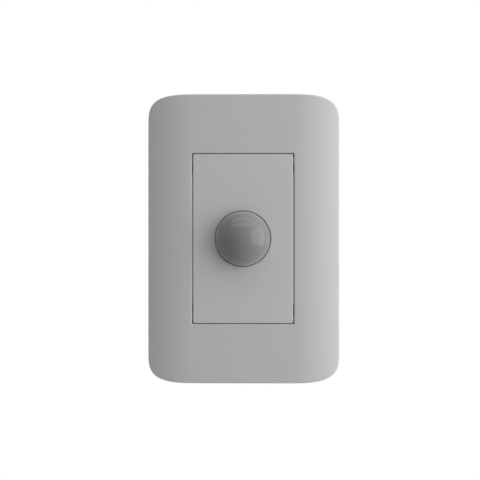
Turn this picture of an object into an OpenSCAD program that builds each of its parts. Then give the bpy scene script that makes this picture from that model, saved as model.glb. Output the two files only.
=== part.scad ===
// Motion sensor light switch for a flush wall box: a clip-on cover plate, a support frame with its two
// box screws, and a sensor module with a lens dome in front and its circuits in a housing behind the wall.
// Millimetres. +Z is up, the front faces -Y, and the wall's surface is the plane y = 0.
// The origin is the middle between the two box screws.

/* [Cover plate] */
// Width of the cover plate
plate_w = 78; // [75:0.5:84]
// Height of the cover plate
plate_h = 118; // [114:0.5:126]
// How far the flat front stands off the wall
plate_depth = 9; // [8.6:0.1:10]
// Thickness of the plate's shell
plate_wall = 2; // [1.8:0.1:2.2]
// Width of each curved flank
flank_w = 16.3; // [12:0.1:16.5]
// Radius of the curved flanks
flank_r = 37; // [34:0.5:60]
// Length of a corner curve across the plate
corner_w = 16.3; // [8:0.1:18]
// Length of a corner curve up the plate
corner_h = 11.8; // [8:0.1:16]
// Squareness of the corner curve, where 2 is an ellipse
corner_power = 2.8; // [2:0.1:4]
// Depth of the skirts above and below the window
skirt_depth = 3.4; // [2:0.1:3.6]
// Thickness of the skirts and of the ribs behind the plate
rib_t = 1.2; // [0.8:0.1:1.6]
// Gap between the ribs and the frame's sockets
rib_gap = 0.3; // [0.2:0.05:0.5]

/* [Plate pegs] */
// Diameter of the four pegs behind the plate
peg_d = 4; // [3:0.1:5]
// Distance of the pegs from the plate's side edges
peg_inset_x = 13; // [12:0.1:14]
// Distance of the pegs from the plate's upper and lower edges
peg_inset_z = 15; // [13:0.1:16]
// Radial clearance of a peg in its socket
peg_fit = 0.08; // [0.04:0.01:0.1]
// Wall of the sockets
socket_wall = 1.6; // [1.2:0.1:2]
// Height of the sockets above the frame
socket_h = 3; // [2:0.1:3.6]

/* [Sensor module front] */
// Width of the insert that shows in the window
insert_w = 41.2; // [40.6:0.1:42]
// Height of the insert that shows in the window
insert_h = 69.3; // [68.4:0.1:70]
// Gap between the insert and the window
insert_gap = 0.25; // [0.15:0.05:0.4]
// Corner radius of the insert
insert_r = 0.8; // [0.5:0.1:1.5]
// Thickness of the fascia's front and side walls
fascia_wall = 2; // [1.8:0.1:2.2]
// Width of the flanges that reach behind the window's sides
flange_w = 1; // [0.7:0.1:1.2]
// Thickness of those flanges
flange_t = 1.2; // [1:0.1:1.4]
// Length of those flanges
flange_h = 66; // [64:0.5:67]
// Thickness of the plate's lip in front of the flanges
lip_t = 0.8; // [0.6:0.1:0.9]
// Length of the four notches in the flanges
notch_h = 4.4; // [3:0.1:5]
// Distance of the notches from the middle
notch_z = 29; // [28:0.1:30]

/* [Lens] */
// Diameter of the lens dome
lens_d = 22.4; // [20:0.1:24]
// Radial gap between the dome and its hole
lens_gap = 0.3; // [0.2:0.05:0.5]
// Thickness of the lens
lens_wall = 0.8; // [0.6:0.1:1]
// Width of the lens flange
lens_flange_w = 1.8; // [1.4:0.1:2]
// Thickness of the lens flange
lens_flange_t = 0.8; // [0.6:0.1:1]
// Radial clearance of the flange in its seat
lens_seat_fit = 0.15; // [0.1:0.05:0.3]
// Wall of the seat ring
lens_seat_wall = 1.2; // [1:0.1:1.4]
// Height of the seat ring
lens_seat_h = 1.8; // [1.4:0.1:2.4]

/* [Support frame] */
// Distance of the frame's sides from the plate's
frame_inset_x = 7; // [6:0.1:8]
// Distance of the frame's ends from the plate's
frame_inset_z = 6; // [5:0.1:8]
// Thickness of the support frame
frame_t = 2.2; // [2:0.1:2.4]
// Corner radius of the support frame
frame_r = 6; // [3:0.5:8]
// Width of the raised edge round the frame
edge_w = 1.4; // [1:0.1:1.8]
// Height of that raised edge
edge_h = 1.4; // [1:0.1:1.8]
// Width of the ledge on which the fascia rests
ledge_w = 0.6; // [0.5:0.1:0.9]
// Thickness of the rails beside the module
rail_t = 1.6; // [1.2:0.1:1.8]
// Length of the rails
rail_h = 52; // [40:1:53]
// Gap between the rails and the flanges in front of them
rail_drop = 0.1; // [0.05:0.05:0.2]
// Gap between the rails and the module
rail_gap = 0.3; // [0.2:0.05:0.4]

/* [Box screws] */
// Distance between the two box screws
box_screw_spacing = 83.5; // [82:0.1:85]
// Diameter of a box screw
box_screw_d = 3.5; // [3:0.1:4]
// Diameter of a box screw's neck, where it passes the frame
box_neck_d = 2.8; // [2.4:0.1:2.9]
// Length of a box screw under its head
box_screw_len = 25; // [20:1:30]
// Diameter of a box screw's head
box_head_d = 6.8; // [6:0.1:7.4]
// Height of a box screw's head
box_head_h = 2.2; // [1.8:0.1:2.4]
// Width of the frame's screw slots
slot_w = 4.4; // [4.2:0.1:5]
// Length of the frame's screw slots
slot_len = 8; // [6:0.1:10]

/* [Rear housing] */
// How far the housing reaches behind the wall
housing_depth = 30; // [28:0.5:34]
// Thickness of the housing's side walls
housing_wall = 1.6; // [1.4:0.1:1.8]
// Thickness of the housing's rear wall
rear_wall = 1.8; // [1.4:0.1:2.2]
// Gap between the housing and the frame's window
housing_gap = 0.3; // [0.2:0.05:0.4]
// Corner radius of the housing
housing_r = 2; // [1:0.1:3]
// Radius of the four screw tubes
tube_r = 2.9; // [2.8:0.05:3.1]
// Distance of the screw tubes from the housing's inner walls
tube_inset = 2.6; // [2.4:0.05:2.8]
// Depth of the screw seats behind the wall
tube_seat = 6; // [4:0.5:9]
// Length of the snap lugs that hold the module in the frame
lug_h = 8; // [6:0.5:10]
// Distance of the snap lugs from the middle
lug_z = 18; // [12:0.5:22]
// Thickness of the snap lugs
lug_t = 0.8; // [0.6:0.1:1]
// How far the snap lugs reach behind the frame
lug_reach = 0.7; // [0.5:0.1:0.9]

/* [Module screws] */
// Diameter of a housing screw
housing_screw_d = 2.6; // [2.2:0.1:2.8]
// Diameter of a housing screw's head
housing_head_d = 4.2; // [3.8:0.1:4.4]
// Height of a housing screw's head
housing_head_h = 1.6; // [1.2:0.1:2]
// Length of a housing screw under its head
housing_screw_len = 11.5; // [10:0.5:12]
// Diameter of a board screw
board_screw_d = 1.6; // [1.4:0.1:1.8]
// Diameter of a board screw's head
board_head_d = 3.6; // [3:0.1:4]
// Height of a board screw's head
board_head_h = 1.2; // [1:0.1:1.4]
// Length of a board screw under its head
board_screw_len = 5; // [4:0.1:5.4]
// Clearance round a screw in the hole that it bites into
bite_fit = 0.05; // [0.02:0.01:0.1]
// Clearance round a screw or a lead in the hole that it passes through
pass_fit = 0.1; // [0.05:0.01:0.2]

/* [Circuit boards] */
// Thickness of both boards
board_t = 1.6; // [1.2:0.1:1.8]
// Gap between a board's edge and the housing
board_gap = 0.25; // [0.15:0.05:0.4]
// Height of the posts between the fascia and the sensor board
sensor_post_h = 4.6; // [4.4:0.1:4.8]
// Height of the posts between the housing's rear wall and the power board
power_post_h = 7.2; // [6.8:0.1:7.6]
// Diameter of the board posts
post_d = 4.4; // [4:0.1:4.8]
// Distance of the sensor board's posts from the middle, across
sensor_post_x = 13; // [12:0.1:14]
// Distance of the sensor board's posts from the middle, up and down
sensor_post_z = 22; // [20:0.1:23]
// Distance of the power board's posts from the middle, across
power_post_x = 14.7; // [14.4:0.1:15]
// Height of the power board's upper posts
power_post_top = 12; // [11:0.1:13]
// Height of the power board's lower posts
power_post_low = -14; // [-16:0.1:-12]
// How far leads stick out of a board
lead_tail = 0.8; // [0.5:0.1:1]

/* [Sensing parts] */
// Diameter of the infrared sensor's can
pir_d = 8.2; // [8:0.1:9]
// Height of the infrared sensor's can
pir_h = 4.2; // [3.6:0.1:4.6]
// Diameter of the can's rim
pir_rim_d = 9.2; // [9:0.1:9.6]
// Thickness of the can's rim
pir_rim_t = 0.5; // [0.4:0.1:0.7]
// Width of the sensor's filter window
pir_window_w = 5; // [4:0.1:5.2]
// Height of the sensor's filter window
pir_window_h = 4; // [3:0.1:4.4]
// Thickness of the filter window
pir_window_t = 0.4; // [0.3:0.05:0.6]
// Radius of the circle on which the can's leads stand
pir_lead_r = 2.54; // [2:0.01:2.54]
// Diameter of the sensing parts' leads
sensor_lead_d = 0.45; // [0.4:0.01:0.5]
// Diameter of the photocell
photocell_d = 5.1; // [4.5:0.1:5.2]
// Distance between the photocell's flats
photocell_flats = 4.3; // [4:0.1:4.4]
// Thickness of the photocell
photocell_t = 2; // [1.6:0.1:2.4]
// Distance between the photocell's leads
photocell_pitch = 2.6; // [2.2:0.1:3]
// Height of the photocell below the middle
photocell_z = -8.1; // [-8.2:0.05:-7.9]
// Length of the sensor chip
chip_w = 9.9; // [9:0.1:11]
// Width of the sensor chip's body
chip_h = 3.9; // [3.5:0.1:4.5]
// Thickness of the sensor chip's body
chip_t = 1.4; // [1.2:0.1:1.8]
// Height of the sensor chip below the middle
chip_z = -22; // [-23:0.1:-20]
// Diameter of the sensor board's capacitors
small_cap_d = 5; // [4:0.1:6]
// Height of the sensor board's capacitors
small_cap_h = 7; // [5:0.1:7.5]
// Distance between the leads of those capacitors
small_cap_pitch = 2; // [1.5:0.1:2.5]
// Distance of those capacitors from the middle, across
small_cap_x = 9; // [8:0.1:9.5]
// Height of those capacitors above the middle
small_cap_z = 14.5; // [13:0.1:16]

/* [Board header] */
// Pitch of the header's pins
pin_pitch = 2.54; // [2:0.01:2.54]
// Thickness of a header pin
pin_t = 0.64; // [0.5:0.01:0.7]
// Width of the header's plastic
header_w = 2.5; // [2.3:0.05:2.6]
// Height of the socket on the sensor board
socket_body_h = 8.5; // [7:0.1:9]
// Height of the strip on the power board
strip_h = 2.5; // [2:0.1:3]
// Depth to which the pins enter the socket
pin_reach = 5.5; // [4:0.1:6]
// Height of the header above the middle
header_z = 28.4; // [28:0.1:29]

/* [Power parts] */
// Length of the dropper capacitor
dropper_w = 18; // [16:0.1:18]
// Width of the dropper capacitor
dropper_d = 7.8; // [7:0.1:8]
// Height of the dropper capacitor
dropper_h = 14.5; // [12:0.1:16]
// Distance between the dropper capacitor's leads
dropper_pitch = 15; // [12:0.1:15]
// Diameter of the filter capacitor
filter_d = 8; // [6.3:0.1:8]
// Height of the filter capacitor
filter_h = 12; // [10:0.1:13]
// Distance between the filter capacitor's leads
filter_pitch = 3.5; // [3:0.1:4]
// Diameter of the varistor's disc
varistor_d = 10; // [8:0.1:10]
// Thickness of the varistor's disc
varistor_t = 4.2; // [3.5:0.1:4.4]
// Distance between the varistor's leads
varistor_pitch = 5; // [4:0.1:6]
// Height of the varistor's disc above the board
varistor_lift = 1; // [0.6:0.1:1.4]
// Diameter of a diode's body
diode_d = 2.7; // [2.2:0.1:2.7]
// Length of a diode's body
diode_len = 5.2; // [4.5:0.1:5.4]
// Distance between a diode's leads
diode_span = 9; // [7.6:0.1:9.4]
// Gap between a diode's body and the board
diode_lift = 0.2; // [0.1:0.05:0.4]
// Distance between neighbouring diodes
diode_pitch = 3.2; // [3:0.1:3.2]
// Diameter of the power parts' leads
lead_d = 0.8; // [0.6:0.05:0.9]

/* [Relay] */
// Length of the relay's cover
relay_w = 19.2; // [19:0.1:20]
// Width of the relay's cover
relay_d = 15.4; // [15:0.1:16]
// Height of the relay's cover
relay_h = 15.8; // [15.6:0.1:16.5]
// Wall of the relay's cover
relay_wall = 0.8; // [0.6:0.1:0.9]
// Clearance of the base inside the cover
relay_fit = 0.1; // [0.05:0.05:0.2]
// Thickness of the relay's base
relay_base_t = 2; // [1.6:0.1:2.4]
// Diameter of the relay's and the terminals' pins
relay_pin_d = 0.9; // [0.7:0.05:1]
// Distance of the coil's pins from the base's end
coil_pin_inset = 1.4; // [1.2:0.1:1.8]
// Distance of the coil's pins from the middle line
coil_pin_side = 5.2; // [4.6:0.1:5.6]
// Distance of the fixed contact's pin from the base's end
fixed_pin_inset = 0.6; // [0.55:0.05:0.7]
// Gap between the yoke and the relay's cover
yoke_gap = 1.4; // [1.2:0.1:1.6]
// Thickness of the yoke's iron
yoke_t = 1.4; // [1.2:0.1:1.5]
// Width of the yoke's iron
yoke_w = 8; // [7:0.1:9]
// Place of the coil's axis along the relay
coil_x = -0.4; // [-0.5:0.1:-0.2]
// Diameter of the core
core_d = 4; // [3.6:0.1:4.4]
// Diameter of the core's pole face
pole_d = 6.2; // [5.6:0.1:6.4]
// Thickness of the core's pole face
pole_t = 0.6; // [0.5:0.1:0.8]
// Wall of the bobbin's tube
bobbin_wall = 0.8; // [0.6:0.1:0.9]
// Diameter of the bobbin's flanges
bobbin_d = 10.2; // [9:0.1:10.4]
// Thickness of the bobbin's flanges
bobbin_flange_t = 0.8; // [0.6:0.1:1]
// Length of the bobbin
bobbin_h = 8; // [7.6:0.1:8]
// Depth of the winding below the flanges' edge
winding_drop = 0.3; // [0.2:0.1:0.6]
// Thickness of the armature's iron
armature_t = 1.2; // [1:0.1:1.3]
// Width of the armature
armature_w = 7; // [6:0.1:8]
// Reach of the armature past the coil's axis
armature_reach = 5.4; // [5:0.1:5.6]
// Height of the armature's underside above its pivot's axis
pivot_drop = 0.3; // [0.2:0.05:0.35]
// Gap left over the pole when the armature is in
residual_gap = 0.1; // [0.06:0.01:0.14]
// Angle by which the armature opens
armature_open = 4.5; // [3:0.1:4.6]
// Radius of the yoke's rounded edge, on which the armature rocks
pivot_r = 0.7; // [0.6:0.05:0.7]
// Clearance of the armature's groove over that edge
pivot_fit = 0.05; // [0.03:0.01:0.08]
// Diameter of the contact buttons
contact_d = 2.4; // [2:0.1:2.6]
// Thickness of the contact buttons
contact_t = 0.7; // [0.5:0.1:0.8]
// Distance of the contacts from the relay's cover
contact_inset = 1.8; // [1.6:0.1:2]
// Width of the contact strips
contact_strip_w = 3.4; // [2.8:0.1:4]
// Gap between the contact spring and the pole face
spring_gap = 0.3; // [0.2:0.05:0.4]
// Length of the contact spring past its button
spring_end = 0.2; // [0.1:0.05:0.3]
// Thickness of the contact spring
spring_t = 0.3; // [0.2:0.05:0.4]
// Thickness of the fixed contact's strip
strip_t = 0.5; // [0.4:0.05:0.6]

/* [Trimmers] */
// Side of a trimmer's base
trimmer_w = 6.6; // [6:0.1:7]
// Height of a trimmer's base
trimmer_h = 4.4; // [4:0.1:5]
// Thickness of the floor under a trimmer's bore
trimmer_floor_t = 1.4; // [1:0.1:1.8]
// Gap above and below a trimmer's shaft
trimmer_end_gap = 0.1; // [0.05:0.05:0.2]
// Diameter of a trimmer's shaft
trimmer_shaft_d = 3.2; // [2.8:0.1:3.4]
// Radial clearance of the shaft in the base
trimmer_fit = 0.05; // [0.03:0.01:0.08]
// Diameter of the shaft's collar
trimmer_collar_d = 5; // [4.4:0.1:5.6]
// Thickness of the shaft's collar
trimmer_collar_t = 0.8; // [0.6:0.1:1]
// Radial gap between the shaft and the housing's hole
trimmer_gap = 0.4; // [0.3:0.05:0.6]
// Width of the screwdriver slot in the shaft
trimmer_slot_w = 0.8; // [0.6:0.1:1]
// Depth of that slot
trimmer_slot_t = 1; // [0.8:0.1:1.4]
// How far the shaft's end lies below the housing's rear face
trimmer_sunk = 0.3; // [0.2:0.1:0.6]
// Distance of a trimmer's pins from its middle lines
trimmer_pin_r = 2.3; // [2:0.1:2.4]
// Distance of the trimmers from the middle, across
trimmer_x = 9.5; // [9:0.1:10]
// Height of the trimmers above the middle
trimmer_z = 20; // [19.5:0.1:21]

/* [Terminals] */
// Distance between neighbouring terminals
pole_pitch = 7.62; // [7.5:0.01:7.62]
// Length of the terminal block from its wire face
block_len = 11; // [10.8:0.1:11.5]
// Diameter of the wire entries
entry_d = 3; // [2.6:0.1:3.2]
// Thickness of the block's wall at the wire entries
entry_wall = 3.6; // [3:0.1:3.8]
// Width of a clamp
clamp_w = 5.2; // [5:0.1:5.4]
// Height of a clamp
clamp_h = 5.2; // [5:0.1:5.4]
// Length of a clamp along the wire
clamp_len = 4.6; // [4.2:0.1:4.8]
// Thickness of a clamp's side and floor
clamp_wall = 0.9; // [0.7:0.05:0.95]
// Thickness of a clamp's roof, in which its screw turns
clamp_roof_t = 1.2; // [1:0.1:1.4]
// Gap between a clamp and its chamber
clamp_gap = 0.12; // [0.1:0.01:0.2]
// Height of a clamp's floor above the board
clamp_lift = 1.2; // [1:0.1:1.4]
// Diameter of a terminal screw
terminal_screw_d = 2.4; // [2:0.1:2.6]
// Diameter of a terminal screw's head
terminal_head_d = 3.8; // [3.4:0.1:4]
// Height of a terminal screw's head
terminal_head_h = 1.5; // [1.2:0.1:1.6]
// Gap under a terminal screw's head
terminal_seat_gap = 0.3; // [0.1:0.05:0.4]
// Thickness of the block's outer ends past the terminals' pitch
block_end = 0.2; // [0.1:0.05:0.4]
// Radial gap round a terminal screw's head
well_gap = 0.3; // [0.2:0.05:0.4]
// Gap between the terminal block and the housing's cut-out
block_gap = 0.15; // [0.1:0.05:0.25]

/* [Hidden] */
$fn = 64;

// Colours of the materials
plate_grey = [0.66, 0.66, 0.66];
insert_grey = [0.65, 0.65, 0.65];
lens_grey = [0.45, 0.45, 0.45];
frame_grey = [0.86, 0.86, 0.84];
black_plastic = [0.1, 0.1, 0.1];
board_green = [0.12, 0.36, 0.2];
zinc = [0.72, 0.73, 0.74];
copper = [0.72, 0.42, 0.24];
brass = [0.78, 0.64, 0.34];
iron = [0.5, 0.5, 0.52];

// An overlap that makes two volumes of one piece grow together, and the reach of a cut past a face
bite = 0.5;
past = 1;

// Steps of a small round corner and of a soft plate corner
round_steps = 8;
soft_steps = 16;

// Depths of the main faces, along Y
front_y = -plate_depth;
plate_inner_y = front_y + plate_wall;
fascia_inner_y = front_y + fascia_wall;
frame_front_y = -frame_t;
sensor_front_y = fascia_inner_y + sensor_post_h;
sensor_back_y = sensor_front_y + board_t;
rear_inner_y = housing_depth - rear_wall;
power_back_y = rear_inner_y - power_post_h;
power_front_y = power_back_y - board_t;

// The plate's window, and the flat part of its front
window_w = insert_w + 2 * insert_gap;
window_h = insert_h + 2 * insert_gap;
flat_half = plate_w / 2 - flank_w;

// The flanges behind the window's sides and the rebates that clear them
flange_gap = 0.15;
flange_front_y = front_y + lip_t + flange_gap;
flange_back_y = flange_front_y + flange_t;
rebate_gap = 0.3;
peg_end_y = -0.4;
peg_x = plate_w / 2 - peg_inset_x;
peg_z = plate_h / 2 - peg_inset_z;
peg_places = [for (x = [-1, 1], z = [-1, 1]) [x * peg_x, z * peg_z]];

// The lens, its flange's seat and its hole
lens_r = lens_d / 2;
lens_hole_r = lens_r + lens_gap;
lens_flange_r = lens_r + lens_flange_w;
lens_seat_r = lens_flange_r + lens_seat_fit;

// The frame with its opening, the housing in it and the room inside the housing
frame_w = plate_w - 2 * frame_inset_x;
frame_h = plate_h - 2 * frame_inset_z;
opening_w = insert_w - 2 * ledge_w;
opening_h = insert_h - 2 * ledge_w;
housing_w = opening_w - 2 * housing_gap;
housing_h = opening_h - 2 * housing_gap;
room_w = housing_w - 2 * housing_wall;
room_h = housing_h - 2 * housing_wall;
tube_x = room_w / 2 - tube_inset;
tube_z = room_h / 2 - tube_inset;
tubes = [for (x = [-1, 1], z = [-1, 1]) [x * tube_x, z * tube_z]];
lug_back_y = -0.15;
lug_gap = 0.1;

// The boards, with corners cut back from the screw tubes
board_w = room_w - 2 * board_gap;
board_h = room_h - 2 * board_gap;
board_waist_w = 2 * (tube_x - tube_r - board_gap);
board_waist_h = 2 * (tube_z - tube_r - board_gap);
sensor_posts = [for (x = [-1, 1], z = [-1, 1]) [x * sensor_post_x, z * sensor_post_z]];
power_posts = [for (x = [-1, 1], z = [power_post_top, power_post_low]) [x * power_post_x, z]];

// Places of the parts on the power board, as [x, z]
dropper_at = [-3.5, -0.4];
filter_at = [0, 20.4];
varistor_at = [-6.4, 10.6];
diodes_at = [7, 5.3];
relay_at = [0, -13.8];
header_at = [0, header_z];

// Leads of the sensing parts, as [x, z]
pir_leads = [for (a = [45, 135, 270]) pir_lead_r * [cos(a), sin(a)]];
photocell_leads = [for (x = [-1, 1]) [x * photocell_pitch / 2, photocell_z]];
small_cap_leads = [for (side = [-1, 1], x = [-1, 1])
    [side * small_cap_x + x * small_cap_pitch / 2, small_cap_z]];
header_leads = [for (i = [-2 : 2]) header_at + [i * pin_pitch, 0]];
header_hole_d = pin_t * sqrt(2) + 2 * pass_fit;
header_len = 5 * pin_pitch;

// Leads of the power parts, as [x, z]
dropper_leads = [for (x = [-1, 1]) dropper_at + [x * dropper_pitch / 2, 0]];
filter_leads = [for (x = [-1, 1]) filter_at + [x * filter_pitch / 2, 0]];
varistor_leads = [for (x = [-1, 1]) varistor_at + [x * varistor_pitch / 2, 0]];
diode_rows = [for (i = [0 : 3]) diodes_at + [0, i * diode_pitch]];
diode_leads = [for (row = diode_rows, x = [-1, 1]) row + [x * diode_span / 2, 0]];
trimmer_spots = [[-trimmer_x, trimmer_z], [trimmer_x, trimmer_z]];
trimmer_offsets = trimmer_pin_r * [[-1, -1], [1, -1], [0, 1]];
trimmer_leads = [for (spot = trimmer_spots, o = trimmer_offsets) spot + o];

// The relay, in heights above the power board and lengths from its middle
relay_room_w = relay_w - 2 * (relay_wall + relay_fit);
relay_room_d = relay_d - 2 * (relay_wall + relay_fit);
yoke_left = -relay_w / 2 + relay_wall + yoke_gap;
leg_top = relay_base_t + yoke_t;
coil_top = leg_top + bobbin_h;
pole_top = coil_top + pole_t;
armature_base = pole_top + residual_gap;
pivot_x = yoke_left + yoke_t / 2;
pivot_h = armature_base - pivot_drop;
armature_end = coil_x + armature_reach;
contact_x = relay_w / 2 - relay_wall - contact_inset;
spring_base = armature_base - spring_t;
fixed_top = spring_base - contact_t - residual_gap;
fixed_pin_x = relay_room_w / 2 - fixed_pin_inset;
coil_pin_x = relay_room_w / 2 - coil_pin_inset;
relay_pin_spots = [[pivot_x, 0], [coil_pin_x, coil_pin_side], [coil_pin_x, -coil_pin_side]];
relay_leads = [for (spot = concat(relay_pin_spots, [[fixed_pin_x, 0]])) relay_at + spot];

// The terminals
poles = [-pole_pitch, 0, pole_pitch];
block_w = 3 * pole_pitch + 2 * block_end;
block_bottom_z = -housing_h / 2;
block_top_z = block_bottom_z + block_len;
chamber_z = block_bottom_z + entry_wall;
clamp_z = chamber_z + clamp_gap + clamp_len / 2;
clamp_floor_y = power_back_y + clamp_lift;
clamp_top_y = clamp_floor_y + clamp_h;
wire_y = (clamp_floor_y + clamp_wall + clamp_top_y - clamp_roof_t) / 2;
terminal_seat_y = clamp_top_y + terminal_seat_gap;
well_r = terminal_head_d / 2 + well_gap;
terminal_leads = [for (x = poles) [x, clamp_z]];

// Quarter curves, from the side towards the top, for a round and for a soft corner
function round_quarter(r) =
    [for (i = [0 : round_steps]) let (a = 90 * i / round_steps) [r * cos(a), r * sin(a)]];
function soft_quarter(w, h, power) =
    [for (i = [0 : soft_steps]) let (a = 90 * i / soft_steps)
        [w * pow(cos(a), 2 / power), h * pow(sin(a), 2 / power)]];

// Closed outline with the same quarter curve, set out from [x, y], at its four corners
function four_corners(quarter, x, y) = let (last = len(quarter) - 1) concat(
    [for (p = quarter) [x + p[0], y + p[1]]],
    [for (i = [0 : last]) let (p = quarter[last - i]) [-x - p[0], y + p[1]]],
    [for (p = quarter) [-x - p[0], -y - p[1]]],
    [for (i = [0 : last]) let (p = quarter[last - i]) [x + p[0], -y - p[1]]]);

function round_rect(w, h, r) = four_corners(round_quarter(r), w / 2 - r, h / 2 - r);
function plate_outline(inset) = four_corners(
    soft_quarter(corner_w - inset, corner_h - inset, corner_power),
    plate_w / 2 - corner_w, plate_h / 2 - corner_h);

// Extrudes a shape of the XZ plane from one depth to another
module along_y(from, to) {
    translate([0, to, 0]) rotate([90, 0, 0]) linear_extrude(height = to - from) children();
}

// Round bar along Y at a place in the XZ plane
module rod(d, at, from, to) {
    translate([at[0], to, at[1]]) rotate([90, 0, 0]) cylinder(d = d, h = to - from);
}

// Round bars at several places
module rods(d, places, from, to) {
    for (at = places) rod(d, at, from, to);
}

// Solid turned about the depth axis, from a half profile of radius and distance in front of the wall
module turned() {
    rotate([90, 0, 0]) rotate_extrude() children();
}

// Stands children on a face that looks forward, or on one that looks back, at a place in the XZ plane
module on_front(y, at) {
    translate([at[0], y, at[1]]) rotate([90, 0, 0]) children();
}
module on_back(y, at) {
    translate([at[0], y, at[1]]) rotate([-90, 0, 0]) children();
}

// Box centred across and standing on its floor
module block(size) {
    translate([-size[0] / 2, -size[1] / 2, 0]) cube(size);
}

// Copies children to the left and right
module both_sides() {
    children();
    mirror([1, 0, 0]) children();
}

// Cross-section of the plate: a flat front that runs into a curved flank at each side
module flank_profile(inset, back) {
    translate([-flat_half, -back]) square([2 * flat_half, plate_depth - inset + back]);
    for (side = [0, 1]) mirror([side, 0]) intersection() {
        translate([flat_half, -back]) square([flank_w + past, plate_depth + back + past]);
        translate([flat_half, plate_depth - flank_r]) circle(r = flank_r - inset);
    }
}

// The plate as a full solid, drawn in all round by an inset
module plate_form(inset, back) {
    intersection() {
        translate([0, 0, -plate_h]) mirror([0, 1, 0])
            linear_extrude(height = 2 * plate_h) flank_profile(inset, back);
        along_y(-2 * plate_depth, 2 * plate_depth) polygon(plate_outline(inset));
    }
}

// Pegs, skirts and ribs behind the plate
module plate_back() {
    rods(peg_d, peg_places, plate_inner_y - bite, peg_end_y);
    intersection() {
        plate_form(plate_wall / 2, 0);
        union() {
            for (z = [-1, 1]) {
                translate([-opening_w / 2, front_y, z * (window_h + rib_t) / 2 - rib_t / 2])
                    cube([opening_w, plate_wall + skirt_depth, rib_t]);
                both_sides() translate([peg_x, front_y, z * peg_z - rib_t / 2])
                    cube([peg_inset_x, frame_front_y - socket_h - rib_gap - front_y, rib_t]);
            }
        }
    }
}

module cover_plate() {
    color(plate_grey) difference() {
        union() {
            difference() {
                plate_form(0, 0);
                plate_form(plate_wall, past);
            }
            plate_back();
        }
        along_y(front_y - past, -plate_wall / 2)
            polygon(round_rect(window_w, window_h, insert_r + insert_gap));
        both_sides() translate([0, front_y + lip_t, -flange_h / 2 - rebate_gap])
            cube([insert_w / 2 + flange_w + rebate_gap, plate_wall, flange_h + 2 * rebate_gap]);
    }
}

module screw_slot() {
    square([slot_len - slot_w, slot_w], center = true);
    for (side = [-1, 1]) translate([side * (slot_len - slot_w) / 2, 0]) circle(d = slot_w);
}

module support_frame() {
    rail_x = insert_w / 2 + rail_gap;
    rail_top_y = flange_back_y + rail_drop;
    color(frame_grey) difference() {
        union() {
            along_y(frame_front_y, 0) polygon(round_rect(frame_w, frame_h, frame_r));
            along_y(frame_front_y - edge_h, frame_front_y + bite) difference() {
                polygon(round_rect(frame_w, frame_h, frame_r));
                polygon(round_rect(frame_w - 2 * edge_w, frame_h - 2 * edge_w, frame_r - edge_w));
            }
            rods(peg_d + 2 * (peg_fit + socket_wall), peg_places, frame_front_y - socket_h, -bite);
            both_sides() translate([rail_x, rail_top_y, -rail_h / 2])
                cube([rail_t, -rail_top_y - bite, rail_h]);
        }
        along_y(frame_front_y - past, past) square([opening_w, opening_h], center = true);
        for (z = [-1, 1]) along_y(frame_front_y - past, past)
            translate([0, z * box_screw_spacing / 2]) screw_slot();
        rods(peg_d + 2 * peg_fit, peg_places, frame_front_y - socket_h - past, past);
        both_sides() for (z = [-1, 1])
            translate([0, lug_back_y - lug_t - lug_gap, z * lug_z - lug_h / 2 - housing_gap])
            cube([opening_w / 2 + lug_reach, frame_t, lug_h + 2 * housing_gap]);
    }
}

// Cross recess of a screw's head
module cross_recess(width, depth) {
    for (turn = [0, 90]) rotate([0, 0, turn]) translate([0, 0, -depth])
        block([width, width / 4, depth + past]);
}

// Screw with its head above zero and its shank below, which may have a thinner neck under the head
module pan_screw(d, len, head_d, head_h, neck = 0, neck_d = 0) {
    under_head = neck > 0 ? [[d / 2, -neck], [neck_d / 2, -neck], [neck_d / 2, 0]] : [[d / 2, 0]];
    difference() {
        rotate_extrude() polygon(concat(
            [[0, -len], [0.3 * d, -len], [d / 2, d / 3 - len]], under_head,
            [[head_d / 2, 0], [head_d / 2, 0.6 * head_h], [0.35 * head_d, head_h], [0, head_h]]));
        translate([0, 0, head_h]) cross_recess(0.6 * head_d, 0.55 * head_h);
    }
}

module box_screws() {
    color(zinc) for (z = [-1, 1]) on_front(frame_front_y, [0, z * box_screw_spacing / 2])
        pan_screw(box_screw_d, box_screw_len, box_head_d, box_head_h, frame_t, box_neck_d);
}

module module_fascia() {
    color(insert_grey) difference() {
        union() {
            difference() {
                along_y(front_y, frame_front_y) polygon(round_rect(insert_w, insert_h, insert_r));
                along_y(fascia_inner_y, past)
                    square([insert_w - 2 * fascia_wall, insert_h - 2 * fascia_wall], center = true);
            }
            both_sides() difference() {
                translate([insert_w / 2 - bite, flange_front_y, -flange_h / 2])
                    cube([flange_w + bite, flange_t, flange_h]);
                for (z = [-1, 1]) translate([insert_w / 2, front_y, z * notch_z - notch_h / 2])
                    cube([flange_w + past, plate_depth, notch_h]);
            }
            rod(2 * (lens_seat_r + lens_seat_wall), [0, 0], fascia_inner_y - bite,
                fascia_inner_y + lens_seat_h);
            rods(post_d, sensor_posts, fascia_inner_y - bite, sensor_front_y);
            rods(2 * tube_r, tubes, fascia_inner_y - bite, frame_front_y);
        }
        rod(2 * lens_seat_r, [0, 0], fascia_inner_y, fascia_inner_y + lens_seat_h + past);
        rod(2 * lens_hole_r, [0, 0], front_y - past, fascia_inner_y + past);
        rods(board_screw_d + 2 * bite_fit, sensor_posts, sensor_back_y - board_screw_len - bite,
            sensor_front_y + past);
        rods(housing_screw_d + 2 * bite_fit, tubes, tube_seat - housing_screw_len - bite,
            frame_front_y + past);
    }
}

// Half profile of the dome and its neck
module dome_profile(r, foot) {
    translate([0, plate_depth]) intersection() {
        circle(r = r);
        square([r + past, r + past]);
    }
    translate([0, foot]) square([r, plate_depth - foot]);
}

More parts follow.
